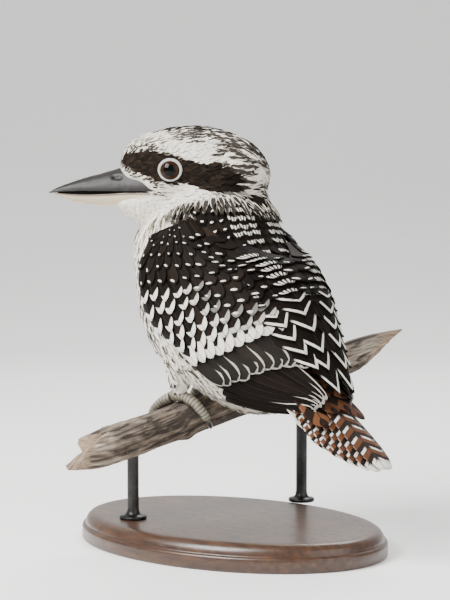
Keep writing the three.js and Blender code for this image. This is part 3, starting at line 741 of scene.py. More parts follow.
def inside_bill(h, margin):
    """Where head places fall within the bill's own section, grown by a margin."""
    found = np.zeros(len(h), bool)
    for stations in (UPPER_BILL_STATIONS, LOWER_BILL_STATIONS):
        x, z, above, below, wide = np.transpose(stations)
        middle, high, low, half = (np.interp(h[:, 0], x, v) for v in (z, above, below, wide))
        rise = h[:, 2] - middle
        depth = np.where(rise > 0, high, low) + margin
        from_middle = np.abs(rise / depth) ** 1.8 + np.abs(h[:, 1] / (half + margin)) ** 1.8
        found |= (from_middle < 1) & (h[:, 0] < BILL_BASE)
    return found


# Folded wing: its outer surface, and its edges in degrees round it on the back's and belly's sides
CLOAK = barrel([
    [12, 117, 39, 63, 49], [20, 95, 50, 73, 56.5], [31, 71, 59, 74, 57.5], [46, 50, 60, 66, 55.5],
    [63, 31, 57, 56, 50], [82, 16, 47, 40, 41], [102, 3, 33, 26, 30], [122, -9, 17, 12, 19],
], 2.1)
WING_TOP, WING_EDGE = through([52, 34, 17, 9, 7, 6, 8, 14]), through([103, 113, 115, 117, 118, 115, 98, 62])
CLOAK_Z = [117, 95, 71, 50, 31, 16, 3, -9]


def under_wing(points):
    """Places that the folded wing hides."""
    _, degrees, _ = in_torso(points)
    s = np.interp(points[:, 2] - PERCH[2], CLOAK_Z[::-1], np.linspace(1, 0, 8))
    out = np.abs(degrees)
    between = (out > WING_TOP(s) + 10) & (out < WING_EDGE(s) - 14 - 12 * smooth(s, 0.35, 0.5))
    return between & (s > 0.02) & (s < 0.93)


def flow(points):
    """Which way the plumage lies."""
    h, (_, _, body), head = in_head(points), in_torso(points), headness(points)[:, None]
    from_bill = unit(h - [-46.0, 0.0, -7.0])
    lie = (0.75 * from_bill + [0.55, 0.0, -0.12]) @ turn_head.T
    mixed = head * lie / np.linalg.norm(lie, axis=1, keepdims=True) + (1 - head) * body
    leg = points - PERCH
    low = smooth(leg[:, 2], 26, 14) * smooth(leg[:, 0], 10, 2) * (leg[:, 2] < 40)
    mixed = mixed * (1 - low[:, None]) + low[:, None] * [-0.55, 0.0, -0.85]
    return unit(mixed)


def nearest(points):
    """The closest places on the skin, and the skin's direction outward there."""
    found = [skin_tree.find_nearest(p)[:2] for p in points.reshape(-1, 3).tolist()]
    at, normal = (np.array([f[k] for f in found]).reshape(points.shape) for k in (0, 1))
    return at, normal


def scattered(keep, spacing, tries, seed):
    """Roots over the skin, no two closer than the spacing asks for there."""
    rng = np.random.default_rng(seed)
    halves = [face[:3] for face in skin_faces] + [[face[0], face[2], face[-1]] for face in skin_faces]
    triangles = skin_points[np.array(halves)]
    first, second = (triangles[:, k] - triangles[:, 0] for k in (1, 2))
    area = np.linalg.norm(np.cross(first, second), axis=1)
    chosen = triangles[rng.choice(len(triangles), tries, p=area / area.sum())]
    a, b = np.sqrt(rng.uniform(0, 1, tries))[:, None], rng.uniform(0, 1, tries)[:, None]
    points = chosen[:, 0] * (1 - a) + chosen[:, 1] * a * (1 - b) + chosen[:, 2] * a * b
    points = points[keep(points)]
    gap = spacing(points)
    tree = KDTree(len(points))
    for i, p in enumerate(points.tolist()):
        tree.insert(p, i)
    tree.balance()
    open_root = np.ones(len(points), bool)
    for i in range(len(points)):
        if open_root[i]:
            for _, j, _ in tree.find_range(points[i], gap[i]):
                if j > i:
                    open_root[j] = False
    return points[open_root]


def vanes(roots, lie, length, width, lift, ragged, rows, columns, seed, reach=0.3):
    """Soft vanes that follow the skin from their roots; the last arrays are across and along each vane."""
    rng = np.random.default_rng(seed)
    count = len(roots)
    steps = 7
    at, normal = nearest(roots)
    heading, line, normals = unit(lie), [at], [normal]
    for _ in range(steps - 1):
        heading = unit(heading - (heading * normal).sum(-1, keepdims=True) * normal)
        at, normal = nearest(at + heading * (length / (steps - 1))[:, None])
        line.append(at)
        normals.append(normal)
    line = np.stack(line, 1)
    across_share = np.linspace(-1, 1, columns + 1)
    along_share = np.linspace(0, 1, rows + 1) ** 0.9
    u = np.broadcast_to(across_share, (count, rows + 1, columns + 1))
    v = np.broadcast_to(along_share[:, None], u.shape)
    fringe = rng.uniform(-1, 1, (count, 1, columns + 1)) * ragged[:, None, None] * smooth(v, 0.45, 1)
    travel = np.clip(v * (1 - reach * u**2) + fringe, 0, 1) * (steps - 1)
    i = np.minimum(steps - 2, travel.astype(int))
    share = (travel - i)[..., None]
    n = np.arange(count)[:, None, None]
    middle = line[n, i] * (1 - share) + line[n, i + 1] * share
    forward = unit(line[n, i + 1] - line[n, i])
    side = unit(np.cross(np.stack(normals, 1)[n, i], forward))
    outline = 0.35 + 0.65 * np.sin(np.clip(v / 0.6, 0, 1) * np.pi / 2)
    outline = outline * (1 - 0.5 * np.clip((v - 0.6) / 0.4, 0, 1) ** 2)
    spot, outward = nearest(middle + side * (u * outline * width[:, None, None] / 2)[..., None])
    low, high = lift[:, :1, None], lift[:, 1:, None]
    rise = low + (high - low) * v**0.85 - 0.12 * width[:, None, None] * u**2 * v
    return spot + outward * rise[..., None], u, v


def vane_faces(count, rows, columns):
    one = lattice(rows + 1, columns + 1)
    return (np.arange(count)[:, None, None] * (rows + 1) * (columns + 1) + one).reshape(-1, 4)


def vane_maps(u, v, places, size):
    """The vane's own map, and the bake's, where each vane is a small patch at its own place."""
    patch = places.reshape(-1, *(1,) * (u.ndim - 1), 2)
    return {"Vane": np.stack([(u + 1) / 2, v], -1), "OFBake": patch + size * np.stack([u / 2, v - 0.5], -1)}


def spread_marks(marks, shape):
    """Each vane's marks, given to all its vertices."""
    ones = (1,) * (len(shape) - 1)
    return {name: np.broadcast_to(values.reshape(-1, *ones), shape) for name, values in marks.items()}


def vane_sockets(finish):
    """Across and along a vane from 0 to 1, how far out from its shaft, and its own chance."""
    vane_map = finish.node("ShaderNodeUVMap", {"uv_map": "Vane"})
    u, v = (finish.node("ShaderNodeSeparateXYZ", {}, vane_map, out=k) for k in (0, 1))
    return u, v, abs(u * 2 - 1), finish.field("seed")


plumage = Finish("plumage", Roughness=0.85, Specular_IOR_Level=0.1)
vane_u, vane_v, across, seed = vane_sockets(plumage)
barb_noise = plumage.noise(plumage.place(vane_u * 14 + seed * 50, vane_v * 3 + across * 2.2), 1.6, 4.0, 0.7)
barbs = (vane_v * 60 + across * -26 + barb_noise * 9).sine() * 0.5 + 0.5
shaft = across.step(0.12, 0.03)
white_vane = plumage.blend(seed * 0.55 + barb_noise * 0.3, (0.83, 0.79, 0.71), (0.68, 0.61, 0.5))
fleck = plumage.field("fleck") * (across + barb_noise * 0.2).step(0.62, 0.46) * vane_v.step(0.6, 0.68)
streak_share = plumage.field("streak")
streak = (across + barb_noise * 0.3 - streak_share * 0.6).step(0.34, 0.22) * vane_v.step(0.15, 0.35)
streak = streak * streak_share.step(0.38, 0.5).most(streak_share * 0.5)
brown_vane = plumage.colours(
    seed * 0.45 + barb_noise * 0.5 + barbs * 0.12,
    (0.2, (0.003, 0.002, 0.0015)), (0.5, (0.008, 0.0052, 0.0036)), (0.85, (0.026, 0.017, 0.011)),
)
rufous_vane = plumage.blend(
    (vane_v * 14 + seed * 6).sine().step(0.1, 0.5), (0.26, 0.11, 0.045), (0.04, 0.022, 0.014)
)
ground = plumage.blend(plumage.field("rufous"), brown_vane, rufous_vane)
white_marked = plumage.blend((fleck + streak).least(1.0) * 0.97, white_vane, (0.018, 0.012, 0.008))
plumage.set(Base_Color=plumage.blend(
    (plumage.field("brown") + (barb_noise - 0.5) * 0.35).step(0.35, 0.65), white_marked, ground
))
plumage.bump(barbs * 0.35 + barb_noise + shaft * 0.5, 0.35, 0.0003)

COAT_CELLS, TRIES = (5, 6), 60000  # cells along and across a soft vane, and roots tried over the skin


def coat(name, roots, length, width, depth, ragged, unwrap, seed, lie=None):
    """One piece of plumage over the skin."""
    rng = np.random.default_rng(seed)
    jitter = rng.uniform(0.85, 1.15, (3, len(roots)))
    heading = flow(roots) if lie is None else lie
    heading = heading + rng.normal(0, 0.1, heading.shape)
    lift = np.stack([0.15 * depth, depth * jitter[2]], 1)
    size = length * jitter[0], width * jitter[1]
    points, u, v = vanes(roots, heading, *size, lift, ragged, *COAT_CELLS, seed)
    marks = markings(roots + flow(roots) * length[:, None] * 0.55, seed + 1)
    piece(
        name, points, vane_faces(len(roots), *COAT_CELLS), plumage, "white_plumage",
        fields=spread_marks(marks, u.shape), maps=vane_maps(u, v, unwrap, 0.003),
    )


def eye_distance(points):
    h = in_head(points)
    return np.sqrt((h[:, 0] - EYE[0]) ** 2 + (h[:, 2] - EYE[2]) ** 2) + 99 * (np.abs(h[:, 1]) < 10)


def on_the_head(points):
    h = in_head(points)
    return (headness(points) > 0.5) & (eye_distance(points) > 8.3) & ~inside_bill(h, 0.6)


def head_spacing(points):
    h = in_head(points)
    back = smooth(h[:, 0], -44, 15)
    return np.minimum(1.25 + 1.15 * back, 1.1 + 0.11 * np.clip(eye_distance(points) - 8, 0, 99))


head_roots = scattered(on_the_head, head_spacing, TRIES, 11)
h = in_head(head_roots)
back = smooth(h[:, 0], -44, 22)
near_eye = smooth(eye_distance(head_roots), 20, 9)
nape = smooth(h[:, 0], 12, 34) * smooth(h[:, 2], -18, -2)
head_length = (4.2 + 6.5 * back) * (1 - 0.5 * near_eye) + 6.5 * nape
head_unwrap = np.stack([0.5 + np.arctan2(h[:, 1], h[:, 2]) / 6.6, (h[:, 0] + 52) / 106], -1)
head_depth = (0.5 + 1.5 * back) * (1 - 0.5 * near_eye) + 1.6 * nape
coat("head_plumage", head_roots, head_length, head_length * (0.42 - 0.1 * nape), head_depth,
     0.1 + 0.14 * nape, head_unwrap, 12)


def on_body(points):
    return (headness(points) <= 0.62) & ~under_wing(points) & (points[:, 2] - PERCH[2] < 146)


def body_spacing(points):
    high = points[:, 2] - PERCH[2]
    return 2.5 + 1.5 * smooth(high, 128, 70) * smooth(high, 5, 25)


def on_collar(points):
    near_neck = np.abs(headness(points) - 0.45) < 0.4
    return near_neck & (np.abs(in_torso(points)[1]) < 125) & (in_head(points)[:, 2] < 6)


body_roots = scattered(on_body, body_spacing, TRIES, 21)
t, degrees, _ = in_torso(body_roots)
broad = smooth(t, 0.12, 0.45) * smooth(body_roots[:, 2] - PERCH[2], 5, 30)
body_length, body_depth = 8.5 + 7.0 * broad, BODY_COAT * (0.7 + 0.3 * broad)
coat("body_plumage", body_roots, body_length, body_length * 0.52, body_depth, 0.12 + 0 * broad,
     np.stack([0.5 + degrees / 380, t], -1), 22)

collar_roots = scattered(on_collar, lambda points: 2.4 + 0 * points[:, 0], TRIES, 31)
t, degrees, _ = in_torso(collar_roots)
behind = smooth(np.abs(degrees), 90, 40)
coat("collar_plumage", collar_roots, 12.0 + 4 * behind, 3.2 + behind, BODY_COAT * 1.5 + 0 * t, 0.12 + 0 * t,
     np.stack([0.5 + degrees / 380, t], -1), 32, lie=in_torso(collar_roots)[2])

# Wings: folded flight feathers and their coverts, each a stiff vane with a shaft, laid like tiles.
# Small flecked coverts cover the shoulder, pale-tipped ones and a long pale-tipped row lie below
# them, then the dark flight feathers, and broad dark ones with pale edges cascade down the back.
TIER_ACROSS = (0.33, 0.95)
VANE_COLUMNS = np.array([-1, -0.86, -0.6, -0.3, -0.07, 0, 0.07, 0.3, 0.6, 0.86, 1])
VANE_ROWS = 1 - (1 - np.linspace(0, 1, 13)) ** 1.4


def tier(count, roots, tips, width, lift, across=TIER_ACROSS, tilt=0.7, **marks):
    """A row of like feathers: places along the wing of roots and tips, from the back's side to the belly."""
    f = np.linspace(0, 1, count)
    ends = [low + (high - low) * f for low, high in (roots, tips, across, across)]
    rest = [np.full(count, value, float) for value in (width, *lift, tilt)]
    return np.stack([*ends, *rest], 1), {name: np.zeros(count) + value for name, value in marks.items()}


def gathered(tiers):
    names = sorted({name for _, marks in tiers for name in marks})
    shapes = np.concatenate([shape for shape, _ in tiers])
    return shapes, {
        name: np.concatenate(
            [marks.get(name, np.zeros(len(shape))) for shape, marks in tiers]
        ) for name in names
    }


def feathers(name, place, marks, thickness, finish, slot, node, flip=False):
    """Closed vanes from place(u, v, lift), with the shaft as a low ridge on the upper face."""
    count = len(marks["seed"])
    u = np.broadcast_to(VANE_COLUMNS, (count, len(VANE_ROWS), len(VANE_COLUMNS)))
    v = np.broadcast_to(VANE_ROWS[:, None], u.shape)
    shaft_rise = 0.3 * np.exp(-((u / 0.09) ** 2)) * (1 - 0.8 * v)
    half = thickness / 2 * (1 - 0.75 * np.abs(u) ** 3)
    points = np.stack([place(u, v, half + shaft_rise), place(u, v, -half)], 1)
    rows, columns = u.shape[1:]
    one = lattice(rows, columns)
    size = rows * columns
    rim = np.concatenate([
        np.arange(columns), np.arange(1, rows) * columns + columns - 1,
        size - 1 - np.arange(1, columns), (rows - 1 - np.arange(1, rows - 1)) * columns,
    ])
    after = np.roll(rim, -1)
    walls = np.stack([after, rim, rim + size, after + size], 1)
    solid = np.concatenate([one, one[:, ::-1] + size, walls])
    faces = (np.arange(count)[:, None, None] * 2 * size + solid).reshape(-1, 4)
    u, v = (np.stack([a, a], 1) for a in (u, v))
    line = int(np.ceil(np.sqrt(count)))
    row, column = np.divmod(np.arange(count), line)
    cell = np.stack([(column + 0.5) / line, (row + 0.5) / line], -1)
    piece(
        name, points, faces[:, ::-1] if flip else faces, finish, slot, [node],
        spread_marks(marks, u.shape), vane_maps(u, v, cell, 0.9 / line),
    )


def outline(v, root=0.6, tip=0.16, point=0.0):
    """Half width of a flight feather along its length: firm root, full middle and round or pointed tip."""
    rising = root + (1 - root) * np.sin(np.clip(v / 0.7, 0, 1) * np.pi / 2)
    start = 0.72 - 0.24 * point
    fall = np.clip((v - start) / (1.003 - start), 0, 1)
    rounded = np.sqrt(1 - fall**2.2) * (1 - point) + (1 - fall**1.9) * point
    return rising * np.maximum(tip * (1 - 0.6 * point), rounded)


# How much the feathers' shapes vary, in the order of a tier's values
VARIED = [0.003, 0.004, 0.003, 0.006, 0.3, 0.03, 0.12, 0.03]


def wing_angle(s, t):
    return WING_TOP(s) + (WING_EDGE(s) - WING_TOP(s)) * t


def wing_places(side, shapes, point, seed):
    rng = np.random.default_rng(seed)
    varied = shapes + rng.normal(0, 1, shapes.shape) * VARIED
    s_root, s_tip, t_root, t_tip, width, low, high, tilt = (column[:, None, None] for column in varied.T)
    sway = rng.normal(0, 0.5, s_root.shape)
    point = point[:, None, None]

    def place(u, v, lift):
        s = s_root + (s_tip - s_root) * v
        angle = wing_angle(s, t_root + (t_tip - t_root) * v)
        radius = np.hypot(CLOAK(s, angle)[..., 1], 30)
        reach = u * outline(v, point=point)
        offset = reach * width / 2 + sway * v**2
        camber = 0.055 * width * reach**2
        height = low + (high - low) * v - tilt * u - camber + lift
        return CLOAK(s, angle + np.degrees(offset / radius), height) * [1, side, 1] + PERCH

    return place


def front_tips(back):
    """Pale tips of a row of nine that fade from the wing's front edge to its back."""
    return back + (1 - back) * smooth(np.linspace(0, 1, 9), 0.25, 0.7)


WING_TIERS = [
    tier(10, (0.46, 0.64), (0.96, 0.95), 13, (-3.2, -2.0), across=(0.5, 1.05), edge=0.6, dark=1.0),
    tier(12, (0.5, 0.4), (0.84, 0.63), 15, (-2.4, 0.6), (0.33, 0.88), edge=0.5, dark=1.0, lines=1.0),
    tier(
        10, (0.44, 0.3), (0.67, 0.51), 12.5, (-1.8, 1.3), (0.33, 0.87), pale_tips=1.0, dark=0.7,
        long_tip=1.0,
    ),
    *(tier(9, *shape, (0.33, low), pale_tips=front_tips(pale), spots=spots, dark=dark, blue=blue)
      for *shape, low, pale, spots, dark, blue in (
          ((0.4, 0.26), (0.6, 0.455), 12.5, (-1.5, 1.6), 0.89, 0.5, 0, 0.85, 0.1),
          ((0.35, 0.21), (0.54, 0.4), 12, (-1.4, 1.8), 0.91, 0.2, 1, 0.85, 0.15),
          ((0.3, 0.16), (0.48, 0.345), 12, (-1.3, 2.0), 0.95, 0, 1, 0.9, 0.1),
          ((0.25, 0.11), (0.42, 0.29), 11.5, (-1.2, 2.1), 0.95, 0, 1, 0.9, 0),
          ((0.2, 0.07), (0.36, 0.235), 11.5, (-1.2, 2.2), 0.95, 0, 1, 0.9, 0),
      )),
    *(tier(*shape, spots=spots, dark=dark)
      for *shape, spots, dark in (
          (8, (0.15, 0.03), (0.3, 0.18), 11, (-1.2, 2.1), 0.95, 0.9),
          (8, (0.09, -0.01), (0.24, 0.13), 11, (-1.6, 1.7), 0.9, 0.95),
          (7, (0.04, -0.03), (0.18, 0.085), 11, (-2.2, 1.2), 0.8, 0.95),
          (7, (-0.01, -0.05), (0.12, 0.045), 11, (-2.8, 0.2), 0.7, 0.95),
          (7, (-0.03, -0.06), (0.08, 0.02), 10, (-3.2, -0.4), 0.6, 0.95),
          (7, (-0.05, -0.08), (0.045, -0.01), 9, (-3.6, -0.9), 0.5, 0.95),
      )),
]
BACK_TIERS = [
    tier(
        1, [s - 0.6 * long] * 2, [s + 0.4 * long] * 2, wide, (low - 3 * (0.45 < s < 0.55), high), (t, t),
        -0.8, **marks,
    )
    for t, wide, long, start, stop, count, (low, high), marks in (
        (0.31, 11, 0.15, 0.04, 0.46, 9, (-2.6, 2.0), {"spots": 1.0, "dark": 0.95}),
        (0.22, 12, 0.15, 0.04, 0.45, 9, (-3.8, 0.6), {"spots": 1.0, "dark": 0.95}),
        (0.08, 12, 0.15, 0.08, 0.16, 3, (-5.4, -0.8), {"dark": 0.95}),
        (0.1, 14, 0.15, 0.2, 0.5, 8, (-4.4, 0.9), {"bars": 1.0, "dark": 0.95}),
        (-0.03, 13, 0.15, 0.26, 0.5, 6, (-5.0, -0.4), {"spots": 1.0, "dark": 0.95}),
        (-0.03, 14, 0.22, 0.46, 0.74, 5, (-3.6, 0.2), {"dark": 1.0, "point": 1.0}),
        (0.29, 23, 0.3, 0.5, 0.76, 5, (-2.4, 2.4), {"edge": 1.0, "dark": 1.0, "point": 1.0}),
        (0.1, 23, 0.3, 0.48, 0.86, 6, (-2.8, 1.8), {"edge": 1.0, "dark": 1.0, "point": 1.0}),
    )
    for s in np.linspace(stop, start, count)
]
wing_finish = Finish("wing_plumage", Roughness=0.65, Specular_IOR_Level=0.07)
vane_u, vane_v, across, seed = vane_sockets(wing_finish)
signed = vane_u * 2 - 1
barb_place = wing_finish.place(across * 3 - vane_v * 9 + seed * 31, across * 2.5 + vane_v * 2 + seed * 7)
barb_noise = wing_finish.noise(barb_place, 3.4, 5.0, 0.7)
barbs = (vane_v * 150 + across * -60 + barb_noise * 5).sine() * 0.5 + 0.5
shaft = across.step(0.1, 0.03)
loose = (barb_noise - 0.5) * 0.12
tip_strength, long_tip = wing_finish.field("pale_tips"), wing_finish.field("long_tip")
tip_curve = (across + loose * 2 - 0.12).most(0.0) * (long_tip * 0.08 + 0.11)
tip = tip_strength * (vane_v + tip_curve + long_tip * 0.07 + seed * 0.03).step(0.885, 0.915)
spot_size, beside = seed * 0.5 + 0.65, signed - seed * 0.5 + 0.2
spot_across, spot_along = beside / (spot_size * 0.34), (vane_v - 0.89 + beside * 0.09) / (spot_size * 0.038)
spot_shape = (spot_across**2.0 + spot_along**2.0 + loose * 3).step(1.1, 0.7)
spot = wing_finish.field("spots") * (1 - tip_strength) * spot_shape
bar_place = vane_v - across * 0.04 + loose * 0.6
strokes = ((signed * 18 + loose * 8).sine() + 0.1).step(-0.15, 0.3)
bar = wing_finish.field("bars") * bar_place.step(0.77, 0.8) * bar_place.step(0.95, 0.91) * strokes
bar = bar * across.step(0.98, 0.85)
pointed = wing_finish.field("point")


def point_width(ahead):
    """Half width of a pointed vane a little further along."""
    return 1 - ((vane_v + ahead - 0.48) / 0.523).most(0.0) ** 1.9


place = (across + loose * 0.3) * point_width(0.0)
vee = (place - point_width(0.1)).step(0.0, 0.03) * (point_width(0.03) - place).step(0.0, 0.03)
vee = vee * vane_v.step(0.66, 0.74)
rim_distance = (across + (vane_v - 0.5).most(0.0) * 0.5).most((vane_v - 0.74) / 0.25)
rim = (rim_distance + loose * 0.25).step(0.92, 0.97) * (vane_v + loose * 0.5).step(0.5, 0.62)
rim = wing_finish.field("edge") * wing_finish.blend(pointed, rim, vee)
fine_lines = ((signed * 46 + barb_noise * 4).sine() * 0.5 + 0.5) * vane_v.step(0.35, 0.75) * 0.025
fine_lines = wing_finish.field("lines") * fine_lines
ground = wing_finish.colours(
    seed * 0.3 + barb_noise * 0.4 + barbs * 0.1 - wing_finish.field("dark") * 0.3 + 0.25,
    (0.12, (0.002, 0.0014, 0.001)), (0.42, (0.006, 0.004, 0.0028)), (0.8, (0.028, 0.018, 0.012)),
)
pale = wing_finish.blend(wing_finish.field("blue") * (0.8 - seed * 0.5), (0.78, 0.74, 0.66), (0.42, 0.6, 0.7))
pale_share = (tip + spot + bar + rim + fine_lines).least(0.95)
wing_colour = wing_finish.blend(pale_share, ground, pale)
wing_finish.set(Base_Color=wing_finish.blend(shaft * 0.6, wing_colour, (0.02, 0.013, 0.01)))
wing_finish.bump(barbs * 0.5 + barb_noise * 0.5, 0.3, 0.0002)

for side, hand in ((1, "left"), (-1, "right")):
    shapes, marks = gathered([*WING_TIERS, *BACK_TIERS])
    marks["seed"] = np.random.default_rng(40 + side).uniform(0, 1, len(shapes))
    place = wing_places(side, shapes, marks["point"], 50 + side)
    node = f"wing_{hand}"
    feathers(f"{node}_feathers", place, marks, 0.4, wing_finish, "brown_plumage", node, flip=side < 0)

    s, t = grid(np.linspace(0.05, 0.64, 40), np.linspace(0.05, 1, 34))
    t = t * (0.97 - 0.13 * smooth(s, 0.3, 0.5))
    edge = np.clip(7 * np.minimum(t, 0.97 - t), 0, 1) * np.clip(s * 12, 0.1, 1)
    edge = edge * np.clip((0.66 - s) * 14, 0, 1)
    depths = (-2.0, -2.4 - 3.0 * edge)
    over, under = (CLOAK(s, wing_angle(s, t), depth) * [1, side, 1] + PERCH for depth in depths)
    points, faces = capped(np.concatenate([over, under[:, ::-1]], 1))
    bed_fields = {"brown": np.ones(len(points)), "rufous": np.zeros(len(points))}
    piece(f"wing_{hand}_bed", points, faces, down, "brown_plumage", fields=bed_fields)

# Mantle: the brown triangle between the wings, of soft vanes in rows, with two columns of broken
# whitish bars beside the middle of the back and small pale flecks further out.
BAR_COLUMNS = np.array([0.0, 7.0, 14.0, 21.0, 29.0, 36.0, 43.0, 50.0])  # sideways from the middle of the back
mantle_rows = [
    (t_tip - 0.085, side * sideways, t_tip)
    for t_tip in np.linspace(0.62, 0.235, 10)
    for side, sideways in ((0, 0.0), *((side, c) for c in BAR_COLUMNS[1:] for side in (1, -1)))
    if sideways < 56 * (1 - (t_tip - 0.22) / 0.5)
]
t_root, sideways, t_tip = np.array(mantle_rows).T
root_angle = np.degrees(sideways / 46)
mantle_roots = TORSO(t_root, root_angle, -BODY_COAT) + PERCH
mantle_lie = TORSO(t_root + 0.02, root_angle) - TORSO(t_root, root_angle)
barred = Finish("mantle_plumage", Roughness=0.8, Specular_IOR_Level=0.1)
vane_u, vane_v, across, seed = vane_sockets(barred)
barb_noise = barred.noise(barred.place(vane_u * 16 + seed * 40, vane_v * 2.5 + seed * 5), 1.7, 4.0, 0.7)
bar_line = vane_v + (barb_noise - 0.5) * 0.12
bar = barred.field("pale") * bar_line.step(0.72, 0.77) * bar_line.step(0.94, 0.89) * across.step(0.95, 0.8)
fleck_off = ((vane_u + vane_v * 0.25 - 0.68 - seed * 0.12) / 0.14) ** 2.0 + ((vane_v - 0.87) / 0.045) ** 2.0
fleck = (1 - barred.field("pale")) * barred.field("flecked") * fleck_off.step(1.1, 0.7)
broken = ((vane_u * 26 + barb_noise * 3).sine() + 0.3).step(-0.3, 0.3)
barred.set(Base_Color=barred.blend(
    (bar * broken).most(fleck),
    barred.colours(
        seed * 0.4 + barb_noise * 0.5,
        (0.2, (0.003, 0.002, 0.0015)), (0.6, (0.01, 0.0065, 0.0045)), (0.9, (0.03, 0.02, 0.013)),
    ),
    (0.78, 0.74, 0.65),
))
barred.bump(barb_noise, 0.35, 0.0003)
count = len(mantle_roots)
lift = np.stack([np.full(count, 0.6), BODY_COAT + np.random.default_rng(61).uniform(0.2, 0.9, count)], 1)
MANTLE_CELLS = (7, 8)
length, width, ragged = (np.full(count, value) for value in (17.0, 10.5, 0.06))
points, u, v = vanes(mantle_roots, unit(mantle_lie), length, width, lift, ragged, *MANTLE_CELLS, 62, 0.12)
barred_width = np.interp(t_tip, [0.3, 0.62], [25, 12])
beside = np.abs(sideways) > 4
marks = {
    "seed": np.random.default_rng(63).uniform(0, 1, count),
    "pale": beside * (np.abs(sideways) < barred_width) * 1.0, "flecked": beside * 1.0,
}
piece(
    "mantle_plumage", points, vane_faces(count, *MANTLE_CELLS), barred, "brown_plumage",
    fields=spread_marks(marks, u.shape),
    maps=vane_maps(u, v, np.stack([0.5 + root_angle / 380, t_root], -1), 0.02),
)

# Tail: twelve long rufous feathers barred with black and tipped with white, the middle pair on
# top, under a wedge of short coverts above and below.
TAIL_ROOT, TAIL_FALL, TAIL_HIDDEN, TAIL_SHOWS = np.array([97.0, 0.0, 16.0]), np.radians(41.0), 62.0, 84.0
tail_along = np.array([np.cos(TAIL_FALL), 0.0, -np.sin(TAIL_FALL)])
tail_up = np.array([np.sin(TAIL_FALL), 0.0, np.cos(TAIL_FALL)])


def on_tail(along, side, lift):
    forward, out, up = (values[..., None] for values in (along, side, lift))
    return PERCH + TAIL_ROOT + forward * tail_along + out * LEFTWARD + up * tail_up


def tail_places(rows):
    """Feathers by side, start, reach, fan in degrees, set to the side, half width and both ends' heights."""
    columns = (column[:, None, None] for column in np.array(rows, float).T)
    side, start, reach, fan, out, half, level, tip_level = columns

    def place(u, v, lift):
        far = start + (reach - start) * v
        fanned = side * ((far + TAIL_HIDDEN) * np.tan(np.radians(fan)) + out)
        across = fanned + u * outline(v, 0.7, 0.22) * half
        camber = 0.5 * (u * outline(v)) ** 2
        return on_tail(far, across, level + (tip_level - level) * v - 0.004 * across**2 - camber + lift)

    return place


quills = [
    (side, -8, TAIL_SHOWS - 1.15 * i * i, 0.9 + i, 1.7 * i, 11.5, *[level] * 2)
    for i in range(6) for side in (1, -1)
    for level in [3.4 - (1.25 if i == 0 and side < 0 else 1.25 * (i + (i > 0)))]
]
# Coverts over and under the tail: start, reach, fan, set to the side, half width and the two heights
upper_coverts = [
    (side, *shape) for shape in (
        (-8, 34, 2.5, 3, 10, 3.0, 5.4), (-10, 40, 7, 8, 10, 1.6, 2.6),
        (-14, 24, 4, 6, 10, 4.6, 6.6), (-18, 12, 2, 2, 10, 6.0, 7.8),
    ) for side in (1, -1)
]
under_coverts = [
    (side, *shape) for shape in (
        (-12, 44, 0.5, 3, 12, -7.5, -6.2), (-12, 38, 6, 8, 12, -6.5, -5.6),
        (-12, 30, 1, 4, 12, -8.8, -8.0), (-12, 20, 4, 9, 12, -8.8, -8.2),
    ) for side in (1, -1)
]
tail_finish = Finish("tail_plumage", Roughness=0.65, Specular_IOR_Level=0.12)
vane_u, vane_v, across, seed = vane_sockets(tail_finish)
quill = tail_finish.field("quill")
barb_noise = tail_finish.noise(
    tail_finish.place(across * 3 - vane_v * 12 + seed * 31, across * 3), 3.2, 5.0, 0.7
)
barbs = (vane_v * 260 + across * -60 + barb_noise * 5).sine() * 0.5 + 0.5
chevron = vane_v * tail_finish.field("bars") + across * -0.55 + (barb_noise - 0.5) * 0.2 + seed * 0.06
bar_wave = chevron * 6.283
black_bar = bar_wave.sine().step(-0.45, -0.2)
rufous = tail_finish.colours(
    seed * 0.3 + barb_noise * 0.5 + barbs * 0.15,
    (0.2, (0.06, 0.022, 0.01)), (0.5, (0.13, 0.048, 0.02)), (0.85, (0.21, 0.09, 0.042)),
)
banded = tail_finish.blend(black_bar * 0.96, rufous, (0.012, 0.008, 0.006))
end_line = vane_v - across * 0.03 + (barb_noise - 0.5) * 0.02
white_tip = end_line.step(0.9, 0.925)
bar_rim = (bar_wave - 1.0).sine().step(0.72, 0.84) * across.step(0.12, 0.4) * across.step(0.97, 0.82) * quill
outer_white = bar_rim.most(tail_finish.field("outer") * 0.7 * across.step(0.9, 0.95) * (1 - black_bar))
under = tail_finish.blend(black_bar * 0.3, (0.8, 0.76, 0.68), (0.3, 0.22, 0.15))
tail_colour = tail_finish.blend((white_tip * quill + outer_white).least(1.0), banded, (0.82, 0.79, 0.72))
tail_colour = tail_finish.blend(tail_finish.field("under"), tail_colour, under)
tail_finish.set(
    Base_Color=tail_finish.blend(across.step(0.09, 0.03) * 0.7, tail_colour, (0.03, 0.017, 0.011))
)
tail_finish.bump(barbs * 0.5 + barb_noise * 0.5, 0.3, 0.0002)

rows = [*quills, *upper_coverts, *under_coverts]
kinds = np.array([0] * len(quills) + [1] * len(upper_coverts) + [2] * len(under_coverts))
marks = {
    "seed": np.random.default_rng(71).uniform(0, 1, len(rows)), "bars": np.where(kinds == 0, 9.5, 3.4),
    "quill": (kinds == 0) * 1.0, "under": (kinds == 2) * 1.0,
    "outer": np.minimum(1, np.array([r[3] / 7 for r in rows])) * (kinds == 0),
}
feathers("tail_feathers", tail_places(rows), marks, 0.45, tail_finish, "tail_plumage", "tail")
